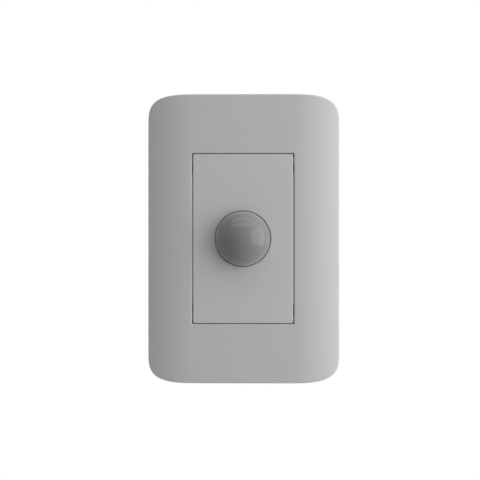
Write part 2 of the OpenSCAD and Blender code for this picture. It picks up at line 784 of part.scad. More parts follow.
module lens_dome() {
    flange_foot = -fascia_inner_y - lens_flange_t;
    color(lens_grey) turned() difference() {
        union() {
            dome_profile(lens_r, flange_foot);
            translate([0, flange_foot]) square([lens_flange_r, lens_flange_t]);
        }
        dome_profile(lens_r - lens_wall, flange_foot - past);
    }
}

module lens_retainer() {
    collar_front = -fascia_inner_y - lens_flange_t;
    color(black_plastic) turned() translate([lens_hole_r, -sensor_front_y])
        square([lens_flange_r - lens_hole_r, collar_front + sensor_front_y]);
}

module board_outline() {
    square([board_w, board_waist_h], center = true);
    square([board_waist_w, board_h], center = true);
}

module sensor_board() {
    color(board_green) difference() {
        along_y(sensor_front_y, sensor_back_y) board_outline();
        rods(board_screw_d + 2 * pass_fit, sensor_posts, sensor_front_y - past, past);
        rods(sensor_lead_d + 2 * pass_fit, concat(pir_leads, photocell_leads), sensor_front_y - past, past);
        rods(sensor_lead_d + 2 * pass_fit, small_cap_leads, sensor_front_y - past, past);
        rods(header_hole_d, header_leads, sensor_front_y - past, past);
    }
}

module pir_can() {
    color(zinc) difference() {
        union() {
            on_front(sensor_front_y, [0, 0]) {
                cylinder(d = pir_rim_d, h = pir_rim_t);
                cylinder(d = pir_d, h = pir_h);
            }
            rods(sensor_lead_d, pir_leads, sensor_front_y - bite / 2, sensor_back_y + lead_tail);
        }
        on_front(sensor_front_y - pir_h + pir_window_t, [0, 0])
            block([pir_window_w + 2 * pass_fit, pir_window_h + 2 * pass_fit, past]);
    }
}

module pir_window() {
    color(black_plastic) on_front(sensor_front_y - pir_h + pir_window_t, [0, 0])
        block([pir_window_w, pir_window_h, pir_window_t]);
}

module photocell() {
    color(brass) {
        on_front(sensor_front_y, [0, photocell_z]) intersection() {
            cylinder(d = photocell_d, h = photocell_t);
            block([photocell_d + past, photocell_flats, photocell_t]);
        }
        rods(sensor_lead_d, photocell_leads, sensor_front_y - bite / 2, sensor_back_y + lead_tail);
    }
}

// One bent leg of the chip, from the board up into the body
module chip_leg(foot, rise, t, w) {
    rotate([90, 0, 0]) translate([0, 0, -w / 2]) linear_extrude(height = w) {
        square([foot, t]);
        translate([foot - t, 0]) square([t, rise]);
        translate([foot - t, rise - t]) square([foot, t]);
    }
}

module sensor_chip() {
    leg_pitch = 1.27;
    leg_foot = 0.7;
    leg_t = 0.2;
    lift = 0.1;
    color(black_plastic) on_back(sensor_back_y, [0, chip_z]) {
        translate([0, 0, lift]) block([chip_w, chip_h, chip_t]);
        for (side = [0, 1]) mirror([0, side, 0]) for (i = [-3.5 : 3.5])
            translate([i * leg_pitch, chip_h / 2 + leg_foot, 0]) rotate([0, 0, -90])
            chip_leg(leg_foot, lift + chip_t / 2, leg_t, 2 * leg_t);
    }
}

// Electrolytic capacitor with its crimped neck, standing on its leads
module can_capacitor(d, h) {
    neck_h = d * 0.2;
    rotate_extrude() difference() {
        square([d / 2, h]);
        translate([d / 2 + d * 0.04, neck_h]) circle(r = d * 0.1);
    }
}

module sensor_capacitors() {
    color([0.2, 0.24, 0.34]) {
        for (side = [-1, 1]) on_back(sensor_back_y, [side * small_cap_x, small_cap_z])
            can_capacitor(small_cap_d, small_cap_h);
        rods(sensor_lead_d, small_cap_leads, sensor_front_y - lead_tail, sensor_back_y + bite / 2);
    }
}

module header_socket() {
    color(black_plastic) {
        difference() {
            on_back(sensor_back_y, header_at) block([header_len, header_w, socket_body_h]);
            for (at = header_leads) on_back(sensor_back_y + socket_body_h - pin_reach - bite, at)
                block([pin_t + 2 * pass_fit, pin_t + 2 * pass_fit, pin_reach + bite + past]);
        }
        rods(pin_t, header_leads, sensor_front_y - lead_tail, sensor_back_y + bite / 2);
    }
}

module header_strip() {
    color(black_plastic) difference() {
        on_front(power_front_y, header_at) block([header_len, header_w, strip_h]);
        for (at = header_leads) on_front(power_front_y + past, at)
            block([pin_t + pass_fit, pin_t + pass_fit, strip_h + 2 * past]);
    }
}

module header_pins() {
    pin_start = sensor_back_y + socket_body_h - pin_reach;
    color(brass) for (at = header_leads) on_back(pin_start, at)
        block([pin_t, pin_t, power_back_y + lead_tail - pin_start]);
}

module power_board() {
    leads = concat(dropper_leads, filter_leads, varistor_leads, diode_leads, trimmer_leads);
    color(board_green) difference() {
        along_y(power_front_y, power_back_y) board_outline();
        rods(board_screw_d + 2 * pass_fit, power_posts, power_front_y - past, power_back_y + past);
        rods(lead_d + 2 * pass_fit, leads, power_front_y - past, power_back_y + past);
        rods(relay_pin_d + 2 * pass_fit, concat(relay_leads, terminal_leads), power_front_y - past,
            power_back_y + past);
        rods(header_hole_d, header_leads, power_front_y - past, power_back_y + past);
    }
}

// Leads of a part on the power board's front, from a height above the board to their tails behind it
module power_leads(places, height) {
    rods(lead_d, places, power_front_y - height, power_back_y + lead_tail);
}

module dropper_capacitor() {
    color([0.72, 0.6, 0.16]) {
        on_front(power_front_y, dropper_at) block([dropper_w, dropper_d, dropper_h]);
        power_leads(dropper_leads, bite);
    }
}

module filter_capacitor() {
    color([0.2, 0.24, 0.34]) {
        on_front(power_front_y, filter_at) can_capacitor(filter_d, filter_h);
        power_leads(filter_leads, bite);
    }
}

module varistor() {
    color([0.16, 0.3, 0.6]) {
        on_front(power_front_y, varistor_at) translate([0, 0, varistor_lift + varistor_d / 2])
            rotate([90, 0, 0]) cylinder(d = varistor_d, h = varistor_t, center = true);
        power_leads(varistor_leads, varistor_lift + varistor_d / 2);
    }
}

module rectifier_diodes() {
    axis_h = diode_d / 2 + diode_lift;
    color([0.16, 0.16, 0.17]) {
        for (row = diode_rows) on_front(power_front_y, row) translate([0, 0, axis_h]) rotate([0, 90, 0]) {
            cylinder(d = diode_d, h = diode_len, center = true);
            cylinder(d = lead_d, h = diode_span, center = true);
        }
        power_leads(diode_leads, axis_h + lead_d / 2);
    }
}

module relay_base() {
    color(black_plastic) difference() {
        on_front(power_front_y, relay_at) block([relay_room_w, relay_room_d, relay_base_t]);
        rods(relay_pin_d + 2 * pass_fit, relay_leads, power_front_y - relay_base_t - past,
            power_front_y + past);
    }
}

module relay_bobbin() {
    color([0.86, 0.84, 0.78]) on_front(power_front_y, relay_at) translate([coil_x, 0, leg_top])
        rotate_extrude() translate([core_d / 2 + pivot_fit, 0]) {
            square([bobbin_wall, bobbin_h]);
            for (h = [0, bobbin_h - bobbin_flange_t]) translate([0, h])
                square([bobbin_d / 2 - core_d / 2 - pivot_fit, bobbin_flange_t]);
        }
}

module relay_winding() {
    inner = core_d / 2 + pivot_fit + bobbin_wall;
    color(copper) on_front(power_front_y, relay_at) translate([coil_x, 0, leg_top + bobbin_flange_t])
        rotate_extrude() translate([inner, 0])
        square([bobbin_d / 2 - winding_drop - inner, bobbin_h - 2 * bobbin_flange_t]);
}

module relay_core() {
    color(iron) on_front(power_front_y, relay_at) translate([coil_x, 0, 0]) {
        translate([0, 0, relay_base_t]) cylinder(d = core_d, h = coil_top - relay_base_t + pole_t / 2);
        translate([0, 0, coil_top]) cylinder(d = pole_d, h = pole_t);
    }
}

module relay_yoke() {
    leg_len = coil_x + bobbin_d / 2 - yoke_left;
    color(iron) on_front(power_front_y, relay_at) difference() {
        union() {
            translate([yoke_left, -yoke_w / 2, relay_base_t]) cube([leg_len, yoke_w, yoke_t]);
            translate([yoke_left, -yoke_w / 2, relay_base_t])
                cube([yoke_t, yoke_w, pivot_h - relay_base_t]);
            translate([pivot_x, 0, pivot_h]) rotate([90, 0, 0])
                cylinder(r = pivot_r, h = yoke_w, center = true);
        }
        translate([coil_x, 0, 0]) cylinder(d = core_d + 2 * pivot_fit, h = leg_top + past);
    }
}

// Turns children about the armature's pivot, from its drawn-in place to its open one
module armature_at_rest() {
    on_front(power_front_y, relay_at) translate([pivot_x, 0, pivot_h]) rotate([0, -armature_open, 0])
        translate([-pivot_x, 0, -pivot_h]) children();
}

module relay_armature() {
    color(iron) armature_at_rest() difference() {
        translate([yoke_left, -armature_w / 2, armature_base])
            cube([armature_end - yoke_left, armature_w, armature_t]);
        translate([pivot_x, 0, pivot_h]) rotate([90, 0, 0])
            cylinder(r = pivot_r + pivot_fit, h = armature_w + past, center = true);
    }
}

module relay_moving_contact() {
    spring_start = coil_x + pole_d / 2 + spring_gap;
    color(copper) armature_at_rest() {
        translate([spring_start, -contact_strip_w / 2, spring_base])
            cube([contact_x + contact_d / 2 + spring_end - spring_start, contact_strip_w, spring_t]);
        translate([contact_x, 0, spring_base - contact_t])
            cylinder(d = contact_d, h = contact_t + spring_t / 2);
    }
}

module relay_fixed_contact() {
    strip_end = fixed_pin_x + relay_pin_d / 2;
    shelf_top = fixed_top - contact_t;
    color(copper) {
        on_front(power_front_y, relay_at) {
            translate([strip_end - strip_t, -contact_strip_w / 2, relay_base_t])
                cube([strip_t, contact_strip_w, shelf_top - relay_base_t]);
            translate([contact_x - contact_d / 2, -contact_strip_w / 2, shelf_top - strip_t])
                cube([strip_end - contact_x + contact_d / 2, contact_strip_w, strip_t]);
            translate([contact_x, 0, shelf_top - strip_t / 2])
                cylinder(d = contact_d, h = contact_t + strip_t / 2);
        }
        rod(relay_pin_d, relay_at + [fixed_pin_x, 0], power_front_y - relay_base_t - past,
            power_back_y + lead_tail);
    }
}

module relay_pins() {
    color(zinc) rods(relay_pin_d, [for (spot = relay_pin_spots) relay_at + spot],
        power_front_y - relay_base_t, power_back_y + lead_tail);
}

module relay_cover() {
    color([0.16, 0.3, 0.6]) on_front(power_front_y, relay_at) difference() {
        block([relay_w, relay_d, relay_h]);
        translate([0, 0, -past])
            block([relay_w - 2 * relay_wall, relay_d - 2 * relay_wall, relay_h - relay_wall + past]);
    }
}

// Base of an adjuster, with the bore in which its shaft turns
module trimmer_base(at) {
    color([0.16, 0.3, 0.6]) {
        on_back(power_back_y, at) difference() {
            block([trimmer_w, trimmer_w, trimmer_h]);
            translate([0, 0, trimmer_floor_t])
                cylinder(d = trimmer_shaft_d + 2 * trimmer_fit, h = trimmer_h);
        }
        rods(lead_d, [for (o = trimmer_offsets) at + o], power_front_y - lead_tail,
            power_back_y + bite);
    }
}

// Shaft of an adjuster, with its collar and screwdriver slot
module trimmer_rotor(at) {
    foot_h = trimmer_floor_t + trimmer_end_gap;
    tip_h = housing_depth - power_back_y - trimmer_sunk;
    color([0.9, 0.9, 0.88]) on_back(power_back_y, at) difference() {
        union() {
            translate([0, 0, foot_h]) cylinder(d = trimmer_shaft_d, h = tip_h - foot_h);
            translate([0, 0, trimmer_h + trimmer_end_gap])
                cylinder(d = trimmer_collar_d, h = trimmer_collar_t);
        }
        translate([0, 0, tip_h - trimmer_slot_t])
            block([trimmer_shaft_d + past, trimmer_slot_w, trimmer_slot_t + past]);
    }
}

module time_trimmer_base() {
    trimmer_base(trimmer_spots[0]);
}
module time_trimmer_rotor() {
    trimmer_rotor(trimmer_spots[0]);
}
module light_trimmer_base() {
    trimmer_base(trimmer_spots[1]);
}
module light_trimmer_rotor() {
    trimmer_rotor(trimmer_spots[1]);
}

module terminal_block() {
    chamber_w = clamp_w + 2 * clamp_gap;
    chamber_len = clamp_len + 2 * clamp_gap;
    color(black_plastic) difference() {
        translate([-block_w / 2, power_back_y, block_bottom_z])
            cube([block_w, housing_depth - power_back_y, block_len]);
        for (x = poles) {
            translate([x - chamber_w / 2, power_back_y - past, chamber_z])
                cube([chamber_w, clamp_top_y + clamp_gap - power_back_y + past, chamber_len]);
            translate([x, wire_y, block_bottom_z - past])
                cylinder(d = entry_d, h = entry_wall + 2 * past);
            rod(2 * well_r, [x, clamp_z], clamp_top_y, housing_depth + past);
        }
    }
}

module terminal_clamps() {
    way_h = clamp_h - clamp_wall - clamp_roof_t;
    color(brass) {
        for (x = poles) on_back(clamp_floor_y, [x, clamp_z]) difference() {
            block([clamp_w, clamp_len, clamp_h]);
            translate([0, 0, clamp_wall])
                block([clamp_w - 2 * clamp_wall, clamp_len + past, way_h]);
            translate([0, 0, clamp_wall + way_h / 2])
                cylinder(d = terminal_screw_d + 2 * bite_fit, h = clamp_h);
        }
        rods(relay_pin_d, terminal_leads, power_front_y - lead_tail, clamp_floor_y + clamp_wall / 2);
    }
}

module terminal_screws() {
    shank = clamp_roof_t + terminal_seat_gap - bite_fit;
    color(zinc) for (x = poles) on_back(terminal_seat_y, [x, clamp_z]) difference() {
        union() {
            cylinder(d = terminal_head_d, h = terminal_head_h);
            translate([0, 0, -shank]) cylinder(d = terminal_screw_d, h = shank + bite / 2);
        }
        translate([0, 0, terminal_head_h * 0.5])
            block([terminal_head_d + past, terminal_head_d / 5, terminal_head_h]);
    }
}

module rear_housing() {
    color(frame_grey) difference() {
        union() {
            difference() {
                along_y(frame_front_y, housing_depth) polygon(round_rect(housing_w, housing_h, housing_r));
                along_y(frame_front_y - past, rear_inner_y) square([room_w, room_h], center = true);
            }
            rods(2 * tube_r, tubes, frame_front_y, rear_inner_y + bite);
            rods(post_d, power_posts, power_back_y, rear_inner_y + bite);
            both_sides() for (z = [-1, 1])
                translate([housing_w / 2 - bite, lug_back_y - lug_t, z * lug_z - lug_h / 2])
                cube([housing_gap + lug_reach + bite - lug_gap, lug_t, lug_h]);
        }
        rods(housing_screw_d + 2 * pass_fit, tubes, frame_front_y - past, tube_seat + past);
        rods(housing_head_d + 4 * pass_fit, tubes, tube_seat, housing_depth + past);
        rods(board_screw_d + 2 * bite_fit, power_posts, power_back_y - past,
            power_front_y + board_screw_len + bite);
        rods(trimmer_shaft_d + 2 * trimmer_gap, trimmer_spots, rear_inner_y - past, housing_depth + past);
        translate([-block_w / 2 - block_gap, power_back_y - block_gap, block_bottom_z - past])
            cube([block_w + 2 * block_gap, housing_depth, block_len + block_gap + past]);
    }
}

module housing_screws() {
    color(zinc) for (at = tubes) on_back(tube_seat, at)
        pan_screw(housing_screw_d, housing_screw_len, housing_head_d, housing_head_h);
}

module board_screws() {
    color(zinc) {
        for (at = sensor_posts) on_back(sensor_back_y, at)
            pan_screw(board_screw_d, board_screw_len, board_head_d, board_head_h);
        for (at = power_posts) on_front(power_front_y, at)
            pan_screw(board_screw_d, board_screw_len, board_head_d, board_head_h);
    }
}

cover_plate();
support_frame();
box_screws();
module_fascia();
lens_dome();
lens_retainer();
sensor_board();
pir_can();
pir_window();
photocell();
sensor_chip();
sensor_capacitors();
header_socket();
header_strip();
header_pins();
power_board();
dropper_capacitor();
filter_capacitor();
varistor();
rectifier_diodes();
relay_base();
relay_bobbin();
relay_winding();
relay_core();
relay_yoke();
relay_armature();
relay_moving_contact();
relay_fixed_contact();
relay_pins();
relay_cover();
time_trimmer_base();
time_trimmer_rotor();
light_trimmer_base();
light_trimmer_rotor();
terminal_block();
terminal_clamps();
terminal_screws();
rear_housing();
housing_screws();
board_screws();
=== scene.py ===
"""A motion sensor light switch, dressed for its studio picture.

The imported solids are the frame. Each class below models one sub-assembly with Blender's own tools, in metres
and in the solids' place, and gives it its finish. Forward is -Y and up is +Z.
"""

from __future__ import annotations

import sys
import logging
import math
from contextlib import contextmanager
from dataclasses import dataclass
from enum import Enum
from typing import Any, Callable, Iterator, Sequence

import bmesh
import bpy
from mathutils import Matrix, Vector


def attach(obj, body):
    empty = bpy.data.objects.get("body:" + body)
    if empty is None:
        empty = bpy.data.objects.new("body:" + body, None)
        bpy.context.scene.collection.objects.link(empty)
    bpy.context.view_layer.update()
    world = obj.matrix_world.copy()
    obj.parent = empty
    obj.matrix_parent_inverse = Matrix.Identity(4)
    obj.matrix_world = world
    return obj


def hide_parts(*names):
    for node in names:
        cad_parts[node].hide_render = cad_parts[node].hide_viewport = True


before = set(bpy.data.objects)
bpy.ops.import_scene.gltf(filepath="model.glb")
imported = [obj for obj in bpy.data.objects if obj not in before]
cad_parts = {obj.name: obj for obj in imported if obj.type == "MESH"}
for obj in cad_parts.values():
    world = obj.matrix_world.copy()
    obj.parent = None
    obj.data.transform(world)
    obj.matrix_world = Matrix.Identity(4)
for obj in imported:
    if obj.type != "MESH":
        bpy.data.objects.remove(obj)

LOG = logging.getLogger("switch")
Piece = bpy.types.Object
Node = bpy.types.Node
Socket = bpy.types.NodeSocket
Tree = bpy.types.NodeTree
Point = tuple[float, float, float]
Colour = tuple[float, float, float]
Spot = tuple[float, float]
Box = tuple[Spot, Spot, Spot]
Profile = Sequence[Spot]
Ring = list[Point]
Test = Callable[[Any], bool]

MM = 0.001
SLIVER = 0.01 * MM
TOUCH = 0.001 * MM
WELD = 0.0001 * MM
QUARTER = math.pi / 2
SHARP_TURN = math.radians(30)
FLAT_TURN = math.radians(1)
STRAIGHT = 0.99
SQUARE_ON = 0.9
BOTH = (-1, 1)


# Sizes


def mm(first: float, second: float) -> Spot:
    """Turns two sizes in millimetres into metres."""
    return first * MM, second * MM


def profile(*points: Spot) -> Profile:
    """Turns the points of a profile, in millimetres, into metres."""
    return tuple(mm(*point) for point in points)


def about(middle: float, half: float) -> Spot:
    """Gives both ends of a length from its middle and its half."""
    return middle - half, middle + half


def corners(at: Spot) -> list[Spot]:
    """Gives a place in X and Z and its mirror images, four in all."""
    return [(x * at[0], z * at[1]) for x in BOTH for z in BOTH]


def quarter_turns(steps: int) -> list[float]:
    """Gives the angles that draw a quarter round in some steps."""
    return [QUARTER * k / steps for k in range(steps + 1)]


# The modelling bench


class Grip(Enum):
    """What edit mode takes hold of."""

    EDGE = "EDGE"
    FACE = "FACE"


class Ends(Enum):
    """How the two ends of a loft are closed."""

    CAPPED = "capped"
    JOINED = "joined"


class Axis(Enum):
    """The direction that a bar runs in, or that a plane lies across."""

    DEPTH = "Y"
    UP = "Z"


class Work(Enum):
    """How one solid is worked into another."""

    CUT = "DIFFERENCE"
    FUSE = "UNION"


def pick(*objects: Piece) -> None:
    """Leaves edit mode and selects these objects alone, the first one active.

    Args:
        *objects: What is selected, or nothing at all.
    """
    active = bpy.context.view_layer.objects.active
    if active and active.mode != "OBJECT":
        bpy.ops.object.mode_set(mode="OBJECT")
    bpy.ops.object.select_all(action="DESELECT")
    for obj in objects:
        obj.select_set(True)
    bpy.context.view_layer.objects.active = objects[0] if objects else None


@contextmanager
def editing(obj: Piece, whole: bool = False) -> Iterator[None]:
    """Holds a piece in edit mode.

    Args:
        obj: The piece.
        whole: Whether all of it is selected at first, or nothing.
    """
    pick(obj)
    bpy.ops.object.mode_set(mode="EDIT")
    bpy.ops.mesh.select_all(action="SELECT" if whole else "DESELECT")
    try:
        yield
    finally:
        bpy.ops.object.mode_set(mode="OBJECT")


def choose(obj: Piece, grip: Grip, test: Test) -> int:
    """Selects the parts of a piece in edit mode that pass a test.

    Args:
        obj: The piece, in edit mode.
        grip: Whether edges or faces are tested.
        test: Says whether a part is wanted.

    Returns:
        How many parts are selected.
    """
    bpy.ops.mesh.select_mode(type=grip.value)
    bpy.ops.mesh.select_all(action="DESELECT")
    mesh = bmesh.from_edit_mesh(obj.data)
    mesh.normal_update()
    wanted = [part for part in (mesh.edges if grip is Grip.EDGE else mesh.faces) if test(part)]
    for part in wanted:
        part.select_set(True)
    mesh.select_flush_mode()
    bmesh.update_edit_mesh(obj.data)
    return len(wanted)


def named(name: str) -> Piece:
    """Puts the place of the active object into its mesh, and names it.

    Args:
        name: The name of the object and its mesh.

    Returns:
        The object.
    """
    bpy.ops.object.transform_apply(location=True, rotation=True, scale=True)
    obj = bpy.context.object
    obj.name = obj.data.name = name
    return obj


def add_block(name: str, *box: Spot) -> Piece:
    """Adds a block.

    Args:
        name: The block's name.
        *box: Its two ends on X, on Y and on Z, each pair in either order.

    Returns:
        The new block.
    """
    pick()
    bpy.ops.mesh.primitive_cube_add(size=1, location=[(a + b) / 2 for a, b in box])
    bpy.context.object.scale = [abs(b - a) for a, b in box]
    return named(name)


def add_blocks(name: str, box: Box, in_x: Sequence[int] = (1,), in_z: Sequence[int] = (1,)) -> list[Piece]:
    """Adds a block and its mirror images.

    Args:
        name: The blocks' name.
        box: The block's two ends on X, on Y and on Z.
        in_x: The signs that its ends on X take.
        in_z: The signs that its ends on Z take.

    Returns:
        The new blocks, one for each pair of signs.
    """
    (left, right), depth, (low, high) = box
    return [add_block(name, (left * x, right * x), depth, (low * z, high * z)) for x in in_x for z in in_z]


def add_rod(
    name: str, radius: float, ends: Spot, at: Spot, sides: int = 48, axis: Axis = Axis.DEPTH
) -> Piece:
    """Adds a round bar.

    Args:
        name: The bar's name.
        radius: Its radius.
        ends: Where it starts and ends along its axis.
        at: Its place across the axis, in X and the other direction.
        sides: How many sides draw the round.
        axis: The direction it runs in.

    Returns:
        The new bar.
    """
    pick()
    middle = sum(ends) / 2
    deep = axis is Axis.DEPTH
    bpy.ops.mesh.primitive_cylinder_add(
        vertices=sides,
        radius=radius,
        depth=ends[1] - ends[0],
        location=(at[0], middle, at[1]) if deep else (*at, middle),
        rotation=(QUARTER, 0, 0) if deep else (0, 0, 0),
    )
    return named(name)


def join(name: str, *objects: Piece) -> Piece:
    """Makes several objects one.

    Args:
        name: The name it gets.
        *objects: The objects, which are used up.

    Returns:
        The one object.
    """
    pick(*objects)
    if len(objects) > 1:
        bpy.ops.object.join()
    objects[0].name = objects[0].data.name = name
    return objects[0]


def work(obj: Piece, way: Work, *tools: Piece) -> Piece:
    """Cuts tools out of a piece, or fuses them to it.

    Args:
        obj: The piece.
        way: Cut or fuse.
        *tools: The solids that are worked in. They don't overlap each other, and are used up.

    Returns:
        The piece.
    """
    tool = join("tool", *tools)
    pick(obj)
    step = obj.modifiers.new(way.value.lower(), "BOOLEAN")
    step.operation = way.value
    step.solver = "EXACT"
    step.object = tool
    bpy.ops.object.modifier_apply(modifier=step.name)
    bpy.data.objects.remove(tool)
    return obj


def sharp(edge: Any) -> bool:
    """Says whether two faces meet at an edge and turn there by more than a blunt angle."""
    return len(edge.link_faces) == 2 and edge.calc_face_angle(0) > SHARP_TURN


def in_plane(place: float, axis: Axis = Axis.DEPTH) -> Test:
    """Gives a test for sharp edges that lie in the plane across an axis at one place."""
    number = "XYZ".index(axis.value)
    return lambda edge: sharp(edge) and all(abs(vert.co[number] - place) < TOUCH for vert in edge.verts)


def along_depth(edge: Any) -> bool:
    """Says whether an edge runs along Y."""
    run = edge.verts[1].co - edge.verts[0].co
    return abs(run.y) > STRAIGHT * run.length


def looking(way: int) -> Test:
    """Gives a test for faces that look to the front, where the way is -1, or to the rear, where it is 1."""
    return lambda face: face.normal.y * way > SQUARE_ON


def soften(obj: Piece, width: float, test: Test, segments: int = 2, limit: bool = True) -> Piece:
    """Rounds the edges that pass a test.

    Args:
        obj: The piece.
        width: How wide the rounding is.
        test: Says whether an edge is wanted.
        segments: How many faces go round it.
        limit: Whether the rounding gets narrower where short edges meet.

    Returns:
        The piece.
    """
    with editing(obj):
        if choose(obj, Grip.EDGE, test):
            bpy.ops.mesh.bevel(offset=width, segments=segments, affect="EDGES", clamp_overlap=limit)
    return obj


def soften_planes(obj: Piece, width: float, *planes: float, axis: Axis = Axis.DEPTH) -> Piece:
    """Makes a piece's flat faces whole, and rounds the sharp edges in some planes.

    Args:
        obj: The piece.
        width: How wide the rounding is.
        *planes: Where the planes lie. They are worked one by one, so that none narrows another's rounding.
        axis: The axis that the planes lie across.

    Returns:
        The piece.
    """
    with editing(obj, whole=True):
        bpy.ops.mesh.remove_doubles(threshold=SLIVER)
        bpy.ops.mesh.dissolve_limited(angle_limit=FLAT_TURN)
    for place in planes:
        soften(obj, width, in_plane(place, axis))
    return obj


def hollow(obj: Piece, way: int, wall: float, depth: float) -> Piece:
    """Insets a block's front or rear and pushes it in, so that a wall stays round it.

    Args:
        obj: The block.
        way: -1 for its front, or 1 for its rear.
        wall: How thick the wall is.
        depth: How far the face goes along Y.

    Returns:
        The block.
    """
    with editing(obj):
        choose(obj, Grip.FACE, looking(way))
        bpy.ops.mesh.inset(thickness=wall)
        bpy.ops.mesh.extrude_region_move(TRANSFORM_OT_translate={"value": (0, depth, 0)})
    return obj


def outward(obj: Piece) -> Piece:
    """Merges a piece's doubles and turns its faces outwards.

    Args:
        obj: The piece.

    Returns:
        The piece.
    """
    with editing(obj, whole=True):
        bpy.ops.mesh.remove_doubles(threshold=WELD)
        bpy.ops.mesh.normals_make_consistent(inside=False)
    return obj


def loft(name: str, rings: Sequence[Ring], ends: Ends) -> Piece:
    """Draws the first ring and extrudes it on through the others.

    Args:
        name: The piece's name.
        rings: The rings, each with the same number of points.
        ends: Whether the ends are capped, or meet in one ring.

    Returns:
        The new piece.
    """
    pick()
    bpy.ops.mesh.primitive_circle_add(vertices=len(rings[0]), radius=MM, fill_type="NOTHING")
    obj = named(name)
    with editing(obj):
        bpy.ops.mesh.select_mode(type=Grip.EDGE.value)
        bpy.ops.mesh.select_all(action="SELECT")
        order: dict[Point, int] = {}
        for ring in rings:
            if order:
                bpy.ops.mesh.extrude_region()
            mesh = bmesh.from_edit_mesh(obj.data)
            held = [vert for vert in mesh.verts if vert.select]
            numbers = [order[vert.co.to_tuple()] for vert in held] if order else range(len(held))
            order = {}
            for number, vert in zip(numbers, held):
                vert.co = ring[number]
                order[vert.co.to_tuple()] = number
            bmesh.update_edit_mesh(obj.data)
        if ends is Ends.CAPPED:
            choose(obj, Grip.EDGE, lambda edge: edge.is_boundary)
            bpy.ops.mesh.fill_holes(sides=0)
    return outward(obj)


def hoop(radii: Sequence[float], y: float, at: Spot = (0, 0)) -> Ring:
    """Draws a ring about Y.

    Args:
        radii: The radius at each of its points, which stand at even angles.
        y: Its place on Y.
        at: Its middle in X and Z.

    Returns:
        The ring.
    """
    turns = [math.tau * k / len(radii) for k in range(len(radii))]
    return [(at[0] + r * math.cos(turn), y, at[1] + r * math.sin(turn)) for r, turn in zip(radii, turns)]


def turned(
    name: str, outline: Profile, at: Spot = (0, 0), sides: int = 48, ends: Ends = Ends.CAPPED
) -> Piece:
    """Turns a piece about Y.

    Args:
        name: The piece's name.
        outline: Radius and Y from one end to the other.
        at: The axis in X and Z.
        sides: How many sides draw the round.
        ends: Whether the ends are capped, or meet in one ring.

    Returns:
        The new piece.
    """
    return loft(name, [hoop([radius] * sides, y, at) for radius, y in outline], ends)


def tube(name: str, radii: Spot, ends: Spot, at: Spot, sides: int) -> Piece:
    """Turns a tube about Y, open from end to end.

    Args:
        name: The tube's name.
        radii: Its outer and its inner radius.
        ends: Where it starts and ends on Y.
        at: Its axis in X and Z.
        sides: How many sides draw the round.

    Returns:
        The new tube.
    """
    (outer, inner), (start, end) = radii, ends
    outline = [(outer, start), (outer, end), (inner, end), (inner, start), (outer, start)]
    return turned(name, outline, at, sides, Ends.JOINED)


def copied(obj: Piece, name: str, shift: Point) -> Piece:
    """Copies a piece with its own mesh, and moves the copy.

    Args:
        obj: The piece.
        name: The copy's name.
        shift: How far the copy is moved.

    Returns:
        The copy.
    """
    twin = obj.copy()
    twin.data = obj.data.copy()
    bpy.context.scene.collection.objects.link(twin)
    pick(twin)
    twin.location = shift
    return named(name)


def spun(obj: Piece, angle: float, at: Spot) -> Piece:
    """Turns a piece about an axis along Y.

    Args:
        obj: The piece.
        angle: The angle in degrees.
        at: The axis in X and Z.

    Returns:
        The piece.
    """
    pick(obj)
    bpy.ops.transform.rotate(
        value=math.radians(angle), orient_axis="Y", orient_type="GLOBAL", center_override=(at[0], 0, at[1])
    )
    return named(obj.name)


def smooth(obj: Piece, angle: float = 32) -> Piece:
    """Clears a piece's slivers and shades it smooth, with its large faces kept flat.

    Args:
        obj: The piece.
        angle: The angle in degrees from which an edge stays sharp.

    Returns:
        The piece.
    """
    with editing(obj, whole=True):
        bpy.ops.mesh.remove_doubles(threshold=SLIVER)
        bpy.ops.mesh.dissolve_degenerate(threshold=SLIVER)
    pick(obj)
    bpy.ops.object.shade_smooth_by_angle(angle=math.radians(angle))
    step = obj.modifiers.new("flats", "WEIGHTED_NORMAL")
    step.keep_sharp = True
    bpy.ops.object.modifier_apply(modifier=step.name)
    return obj


# Finishes


def opaque(colour: Colour, shade: float = 1) -> tuple[float, ...]:
    """Gives a colour times a shade in the form that a socket takes."""
    return (*(part * shade for part in colour), 1)


DUST = (0.5, 0.49, 0.47)
WHITE_LIGHT = opaque((1, 1, 1))
COLOUR_SOCKETS = ("Colour", "Dull")


